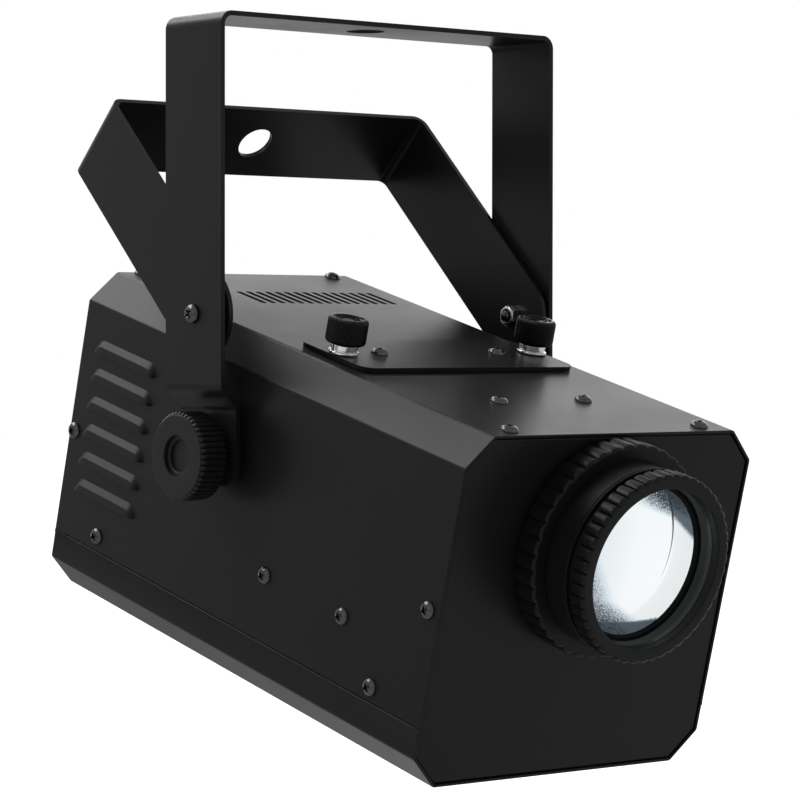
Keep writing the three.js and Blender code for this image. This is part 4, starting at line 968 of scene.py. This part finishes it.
def make_collar():
    base = 52.2
    steps = fillet([
        (2.4, base), (6.2, base, 0.25), (6.2, base + 1, 0.3), (5.2, base + 1.05, 0.1),
        (5.2, base + 1.5, 0.1), (5.5, base + 1.6, 0.1), (5.5, base + 3.6, 0.2), (3, base + 3.6),
    ], 3, False)
    profile = [(0, 40.3), (2.4, 40.3), *steps, (3, base + 9), (0, base + 9)]
    return smooth(lathe("collar", profile, 64))


def make_thumb_head():
    r, low, high = 8.25, 56.1, 66.7
    stations = [
        (0, low, 0),
        *near(r, low, (1.7, 0, 0), (1.0, -0.15, 0.3), (0.45, -0.5, 0.8), (0.1, -1.05, 1),
              (0, -1.6, 1), (0, -4, 1)),
        *near(r, high, (0, 1.6, 1), (0.1, 1.0, 1), (0.4, 0.5, 1), (0.9, 0.12, 1), (1.3, 0, 0.9),
              (1.9, 0, 0.2), (2.1, 0.05, 0), (2.4, 0.7, 0), (2.9, 0.95, 0), (3.3, 0.5, 0),
              (3.8, 0.45, 0), (4.2, 1.3, 0)),
        (3.0, high - 1.4, 0), (2.6, high - 0.8, 0), (2.0, high - 0.65, 0), (0, high - 0.6, 0),
    ]
    return fluted("thumb head", stations, 54, 0.3, HEAD, 6, 0.8)


finish_piece(make_plate(), "plate_sheet", HOUSING, "gobo_slide", POWDER, "powder_coat",
             "access_plate")
for word, side in SIDES.items():
    seat = HOUSING @ shift(side * THUMB_X, THUMB_Y, 0)
    body = f"thumbscrew_{word}"
    finish_piece(make_collar(), f"collar_{word}", seat, body, NICKEL, "nickel",
                 f"thumbscrew_collar_{word}")
    finish_piece(make_thumb_head(), f"thumb_head_{word}", seat, body, HEAD, "black_plastic",
                 f"thumbscrew_head_{word}")
print("plate and thumbscrews set")

# %% [markdown]
# ## The lens
# The barrel comes through the front pan and carries two fluted rings. The zoom ring lies against
# the pan, with forty half-round flutes. The focus ring has forty-eight, and its bore is the hood in
# front of the glass. Between them show the barrel's lip and the sleeve that slides in it. Heights
# are counted ahead of the housing's front edge.

# %% Rings and barrel
def make_zoom_ring():
    r, front, back = 43, 11.35, 0.5
    stations = [
        (37.1, front - 0.1, 0), (37.2, front, 0),
        *near(r, front, (1.7, 0, 0), (1.1, 0.05, 0.5), (0.55, 0.25, 0.9), (0.15, 0.6, 1),
              (0, 1.1, 1), (0, 3, 1), (0, 6, 1)),
        *near(r, back, (0, -2.4, 1), (0, -1.2, 1), (0.1, -0.7, 1), (0.35, -0.3, 0.9),
              (0.8, -0.05, 0.6), (1.5, 0, 0)),
        (40, back, 0), (40, -0.3, 0), (37.1, -0.3, 0),
    ]
    return fluted("zoom", stations, 40, 1.3, GRIP, 14, 0.6)


def make_focus_ring():
    r, front, back = 37.6, 33.4, 25.7
    stations = [
        (31.8, front - 0.5, 0), (32.1, front - 0.15, 0), (32.5, front, 0),
        *near(r, front, (1.7, 0, 0), (1.15, 0.05, 0.5), (0.6, 0.25, 0.9), (0.15, 0.6, 1),
              (0, 1.1, 1), (0, 3, 1)),
        *near(r, back, (0, -2.2, 1), (0, -0.5, 1), (0.15, -0.2, 1), (0.6, 0, 0.8), (1.4, 0, 0)),
        (34.1, back, 0), (34.1, front - 3.4, 0), (31.8, front - 3.4, 0),
    ]
    return fluted("focus", stations, 48, 1.3, GRIP, 14, 0.4)


def make_barrel():
    profile = fillet([
        (35.5, 23.3, 0.25), (37, 23.3, 0.25), (37, 22.6, 0.12), (36.5, 22.6, 0.1),
        (36.5, 22.1, 0.1), (37, 22.1, 0.12), (37, 21.5, 0.2), (36.4, 21.5, 0.1), (36.4, 11.65),
        (37, 11.65), (37, -2.1), (40.5, -2.1), (40.5, -4.6), (37, -4.6), (37, -45), (35.5, -45),
    ])
    return smooth(lathe("barrel", profile, 160))


def make_sleeve():
    """The sleeve's bore has a fine thread in front of the glass."""
    thread = [(31.8 - 0.5 * (i % 2), 23.9 + 0.45 * i) for i in range(9)]
    profile = fillet([
        (31.8, 29.7), (33.8, 29.7), (33.8, 25.4), (35.2, 25.4, 0.15), (35.2, 4), (29.4, 4),
        (29.4, 18.4), (31.1, 18.4), (31.1, 23.6), (31.8, 23.6),
    ]) + thread
    return smooth(lathe("sleeve", profile, 160))


for make, name, body, material, slot, node in (
    (make_zoom_ring, "zoom_grip", "zoom_ring", GRIP, "black_plastic", "zoom_ring"),
    (make_focus_ring, "focus_grip", "focus_ring", GRIP, "black_plastic", "focus_ring"),
    (make_barrel, "barrel_tube", "housing", ANODISED, "black_anodised", "lens_barrel"),
    (make_sleeve, "sleeve_tube", "focus_sleeve", TURNED_BLACK, "black_anodised",
     "objective_sleeve"),
):
    finish_piece(make(), name, LENS, body, material, slot, node)

# %% Objective and what shows behind it
def cap(radius, rim, bulge, steps=16):
    """Points of a spherical cap from its crown to its rim."""
    ball = (radius * radius + bulge * bulge) / (2 * bulge)
    half = math.asin(radius / ball)
    angles = [half * i / steps for i in range(steps + 1)]
    return [(ball * math.sin(a), rim + (bulge - ball * (1 - math.cos(a)))) for a in angles]


def make_objective():
    glass = cap(29.4, 21.7, 4.4) + [(30.8, 21.7), (30.8, 18.7), (0, 18.7)]
    return smooth(lathe("objective", glass, 160))


def make_retainer():
    profile = [(29.4, 22), (30.8, 22), (30.8, 23.6, 0.15), (30.4, 23.6, 0.1), (29.4, 22.8, 0.1)]
    return smooth(lathe("retainer", fillet(profile, 2), 160))


def make_zoom_lens():
    glass = [(0, -22), (31, -22), (31, -19.5), *reversed(cap(29, -19.5, 3.2))]
    return smooth(lathe("zoom lens", glass, 128))


finish_piece(make_objective(), "objective_glass", LENS, "focus_sleeve", PAINTED_GLOW_GLASS, "lens_glass",
             "objective_lens")
# The retainer's near-black finish is partly painted shade in the gap round the glass.
finish_piece(make_retainer(), "retainer_ring", LENS, "focus_sleeve", CELL_BLACK_AND_SHADE, "black_anodised",
             "objective_retainer")
finish_piece(make_zoom_lens(), "zoom_glass", LENS, "zoom_cell", GLASS, "lens_glass", "zoom_lens")
print("objective ground")

# %% [markdown]
# ## Screws, bolts and nuts
# The shell is held by pan heads with a cross recess. One head is modelled, and the seat tree sets
# it on every marked point, turned to the wall it sits on. The hinge bolts are the same head,
# larger, with a hexagon nut and the bolt's end inside the second yoke's arms.

# %% Screws
# Points along the head's crown, as shares of its radius and height
CROWN = [(0, 1), (0.3, 0.98), (0.55, 0.9), (0.76, 0.73), (0.91, 0.48), (0.98, 0.24), (1, 0.08)]


def make_screw(radius, height, recess):
    crown = [(radius * r, height * z) for r, z in CROWN] + [(radius, -0.1), (0, -0.1)]
    pit = [(0, height * 0.3), (recess * 0.5, height * 0.5),
           (recess * 0.7, height + 1), (0, height + 1)]
    cutters = [lathe("pit", pit, 24)]
    for angle in (35, 125):
        bar = block((-recess, -recess * 0.2, height * 0.4), (recess, recess * 0.2, height + 1))
        bar.data.transform(lean(angle, "Z"))
        cutters.append(bar)
    return boolean(lathe("screw", crown, 36), cutters)


def shell_seats():
    """Places and directions of the screws on the sides, the roof, the belly and the tail."""
    seats = []
    sides = (248.4, 69.1), (6.8, 69.3), (221.0, 108.0), (31.7, 108.6), (105.3, 87.8), (54.8, 87.8)
    for side in SIDES.values():
        for behind, below in sides:
            seats.append(((side * SIDE, behind + FRONT, ROOF - below), (side, 0, 0)))
    for x, behind in ((50, 7), (22.3, 45.3), (52, 248.5)):
        seats += [((s * x, behind + FRONT, ROOF), (0, 0, 1)) for s in (-1, 1)]
    seats += [((s * 50, y, BELLY), (0, 0, -1)) for s in (-1, 1) for y in (-138, 101.5)]
    seats += [((s * 25, 106.1, LENS_UP + t * 25), (0, 1, 0)) for s in (-1, 1) for t in (-1, 1)]
    return seats


plate_seats = [((s * 31.4, -35.3, 51.9), (0, 0, 1)) for s in (-1, 1)]
for name, body, seats in (
    ("shell_screws", "housing", shell_seats()), ("plate_screws", "gobo_slide", plate_seats)
):
    screws = seated(make_screw(3.6, 2.1, 1.9), seats, BLACK_STEEL)
    finish_piece(screws, name, HOUSING, body, BLACK_STEEL, "black_steel")
    print(name, len(seats))

# %% Hinge bolts and nuts
def make_nut():
    corners = [math.radians(60 * i) for i in range(6)]
    nut = prism("nut", [(4.62 * math.cos(a), 4.62 * math.sin(a)) for a in corners], 78.73, 82.73)
    turned = [(0, 78.6), (3.3, 78.6), (4.75, 79.5), (4.75, 83), (0, 83)]
    sink = [(0, 78), (3.0, 78), (3.0, 78.73), (2.6, 79.2), (2.6, 84), (0, 84)]
    boolean(nut, [lathe("turned", turned, 48)], "INTERSECT")
    return soften(boolean(nut, [lathe("sink", sink, 48)]), 0.12, 2)


def make_bolt():
    bolt = seated(make_screw(4.0, 2.5, 2.1), [((0, 0, 89.33), (0, 0, 1))], BLACK_STEEL)
    shank = [(0, 77.3), (1.9, 77.3), (2.4, 77.8), (2.4, 89.4), (0, 89.4)]
    return smooth(boolean(bolt, [lathe("shank", shank, 48)], "UNION"), 40)


for word, side in SIDES.items():
    where = HINGE_AXIS @ outward(side)
    finish_piece(make_bolt(), f"bolt_{word}", where, "yoke", BLACK_STEEL, "black_steel",
                 f"hinge_bolt_{word}")
    finish_piece(make_nut(), f"nut_{word}", where, "yoke", NICKEL, "zinc_steel",
                 f"hinge_nut_{word}")
    finish_piece(washer(BOLT_HOLE, 7, 85.33, 86.73, 0.2, 48), f"hinge_ring_{word}", where, "yoke",
                 ZINC, "zinc_steel", f"hinge_washer_{word}")
print("hinges bolted")

# %% [markdown]
# ## The tail
# The mains inlet is a moulded socket with three pins and a thin flange, made of plates cut to
# outlines. The fuse holder's cap is turned, with a slot for a screwdriver.

# %% Inlet and fuse holder
def make_inlet():
    body = prism("inlet", rectangle(-15, -11, 15, 11), 86, 107, "Y")
    flange = prism("flange", fillet(rectangle(-18, -14, 18, 14, 1.5), 5), 106.4, 108, "Y")
    boolean(body, [flange], "UNION")
    socket = fillet([(-12.6, -8.6, 0.6), (12.6, -8.6, 0.6), (12.6, 8.6, 4.8), (-12.6, 8.6, 4.8)], 5)
    boolean(body, [prism("socket", socket, 88.4, 112, "Y")])
    return soften(body, 0.25, 2)


def make_pins():
    pin = soften(block((-1, -2, 0), (1, 2, 17.6)), 0.3, 2)
    return seated(pin, [((x, 88, z), (0, 1, 0)) for x, z in ((-7, -2), (0, 2), (7, -2))], NICKEL)


def make_fuse_cap():
    steps = fillet([(6.5, 106.4), (8, 106.4, 0.3), (8, 107.2, 0.2), (7.2, 107.4, 0.1),
                    (7.2, 109.4, 0.5), (0, 109.4)], 3, False)
    holder = lathe("fuse", [(0, 83.4), (6.5, 83.4)] + steps, 64)
    return smooth(boolean(holder, [block((-5, -0.6, 108.4), (5, 0.6, 112))]), 36)


inlet_place = HOUSING @ shift(*INLET)
fuse_place = HOUSING @ shift(*FUSE) @ lean(-90, "X")
finish_piece(make_inlet(), "inlet_socket", inlet_place, "housing", PLASTIC, "black_plastic",
             "power_inlet")
finish_piece(make_pins(), "inlet_pins", inlet_place, "housing", NICKEL, "black_plastic")
finish_piece(make_fuse_cap(), "fuse_cap", fuse_place, "housing", PLASTIC, "black_plastic",
             "fuse_holder")
print("tail fitted")

# %% [markdown]
# ## What stays as it came
# The pieces inside the housing hardly show: the fan behind its grille, the studs, the bench and the
# light engine. Their solids stay, each with its own finish in place of the plain one it came with.

# %% Finishes of the inner pieces
INNER = (
    (ZINC, "knob_stud clinch_nut plate_nut gobo_disc gobo_ring optical_bench"),
    (BLACK_STEEL, "gobo_carrier transformer"),
    (ANODISED, "gobo_gate zoom_lens_cell condenser_holder"),
    (SPACER, "fan_frame fan_rotor"),
    (GLASS, "condenser_lens"),
    (ALUMINIUM, "heatsink"),
    (WHITE_BOARD, "led_board"),
    (PHOSPHOR, "led_emitter"),
    (BOARD, "power_board"),
    (PLASTIC, "capacitor"),
)
dressed = 0
for name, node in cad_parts.items():
    for material, starts in INNER:
        if name.startswith(tuple(starts.split())):
            node.data.materials.clear()
            node.data.materials.append(material)
            dressed += 1
print("inner pieces dressed:", dressed)

# %% [markdown]
# ## The studio
# A product on white needs a pale floor, a white surround and large soft lamps. The camera sees
# floor and surround as plain white. The surround's light on the object stays moderate, and in
# reflections the floor is dim but for its far part. The projector hangs, so the floor lies well
# below it.

# %% Floor and world
FLOOR_Z, FLOOR_HALF = -0.46, 8


def ray_kinds(tree):
    """1 for the camera's rays, and 1 for a reflection's rays and those through glass."""
    rays = add(tree, "ShaderNodeLightPath").outputs
    camera, glossy, clear = (
        Flow(tree, rays[f"Is {kind} Ray"]) for kind in ("Camera", "Glossy", "Transmission"))
    return camera, glossy.most(clear)


def make_world():
    world = bpy.data.worlds.new("surround")
    bpy.context.scene.world = world
    world.use_nodes = True
    tree = world.node_tree
    lit = wire(tree.nodes["Background"], Color=(0.95, 0.98, 1.0, 1), Strength=0.42)
    seen = add(tree, "ShaderNodeBackground", Color=(1, 1, 1, 1))
    camera, bounced = ray_kinds(tree)
    mix = add(tree, "ShaderNodeMixShader", Fac=camera.most(bounced))
    feed(mix.inputs[1], lit.outputs[0])
    feed(mix.inputs[2], seen.outputs[0])
    feed(tree.nodes["World Output"].inputs[0], mix.outputs[0])


def make_floor_finish():
    material, tree, shader, vector = new_material(
        "pale floor", Roughness=0.9, Specular_IOR_Level=0.0)
    _, y, _ = axes(tree, vector)
    behind = (y + 0.1).math("MULTIPLY", 1.6, clamp=True)
    far = (y - 2.1).math("MULTIPLY", 0.6, clamp=True)
    tone = behind * -0.55 + 0.9
    camera, bounced = ray_kinds(tree)
    glow = add(tree, "ShaderNodeEmission", Strength=camera.most(bounced * (tone * 0.2).most(far)))
    wire(shader, Base_Color=tone)
    both = add(tree, "ShaderNodeAddShader")
    feed(both.inputs[0], shader.outputs[0])
    feed(both.inputs[1], glow.outputs[0])
    feed(tree.nodes["Material Output"].inputs[0], both.outputs[0])
    return material


def make_floor():
    bm = bmesh.new()
    for x, y in rectangle(-FLOOR_HALF, -FLOOR_HALF, FLOOR_HALF, FLOOR_HALF):
        bm.verts.new((x, y, FLOOR_Z))
    bm.faces.new(list(bm.verts))
    floor = object_from("floor", bm)
    floor.data.materials.append(make_floor_finish())
    if floor.data.polygons[0].normal.z < 0:
        floor.data.flip_normals()


make_world()
make_floor()
print("floor at", FLOOR_Z)

# %% [markdown]
# A large lamp overhead draws the roof and the yokes' upper faces, a strip beside it sharpens the
# edges, a lamp behind lights the crossbars, and two weak ones in front open up the sides. A black
# object shows its lamps by reflection, so they are large.

# %% Lamps
CENTRE = Vector((0, 0, -0.15))


def soft_lamp(name, place, size, power, target=CENTRE):
    data = bpy.data.lights.new(name, "AREA")
    data.shape = "RECTANGLE"
    data.size, data.size_y = size
    data.energy = power
    lamp = link_new(name, data)
    lamp.visible_camera = False
    lamp.location = place
    lamp.rotation_euler = (target - Vector(place)).to_track_quat("-Z", "Y").to_euler()


soft_lamp("overhead", (-0.85, 1.4, 1.65), (2.4, 1.2), 64)
soft_lamp("strip", (0.6, 1.7, 1.6), (0.3, 0.9), 8)
soft_lamp("back", (2.1, 2.0, 0.42), (1.6, 1.3), 9)
soft_lamp("left front", (-2.0, -0.6, 0.5), (1.0, 1.6), 2)
soft_lamp("right front", (1.0, -2.2, 0.3), (0.9, 1.4), 3, Vector((0, 0, -0.2)))
bpy.context.scene.view_settings.view_transform = "Standard"
print("lamps:", len(bpy.data.lights))
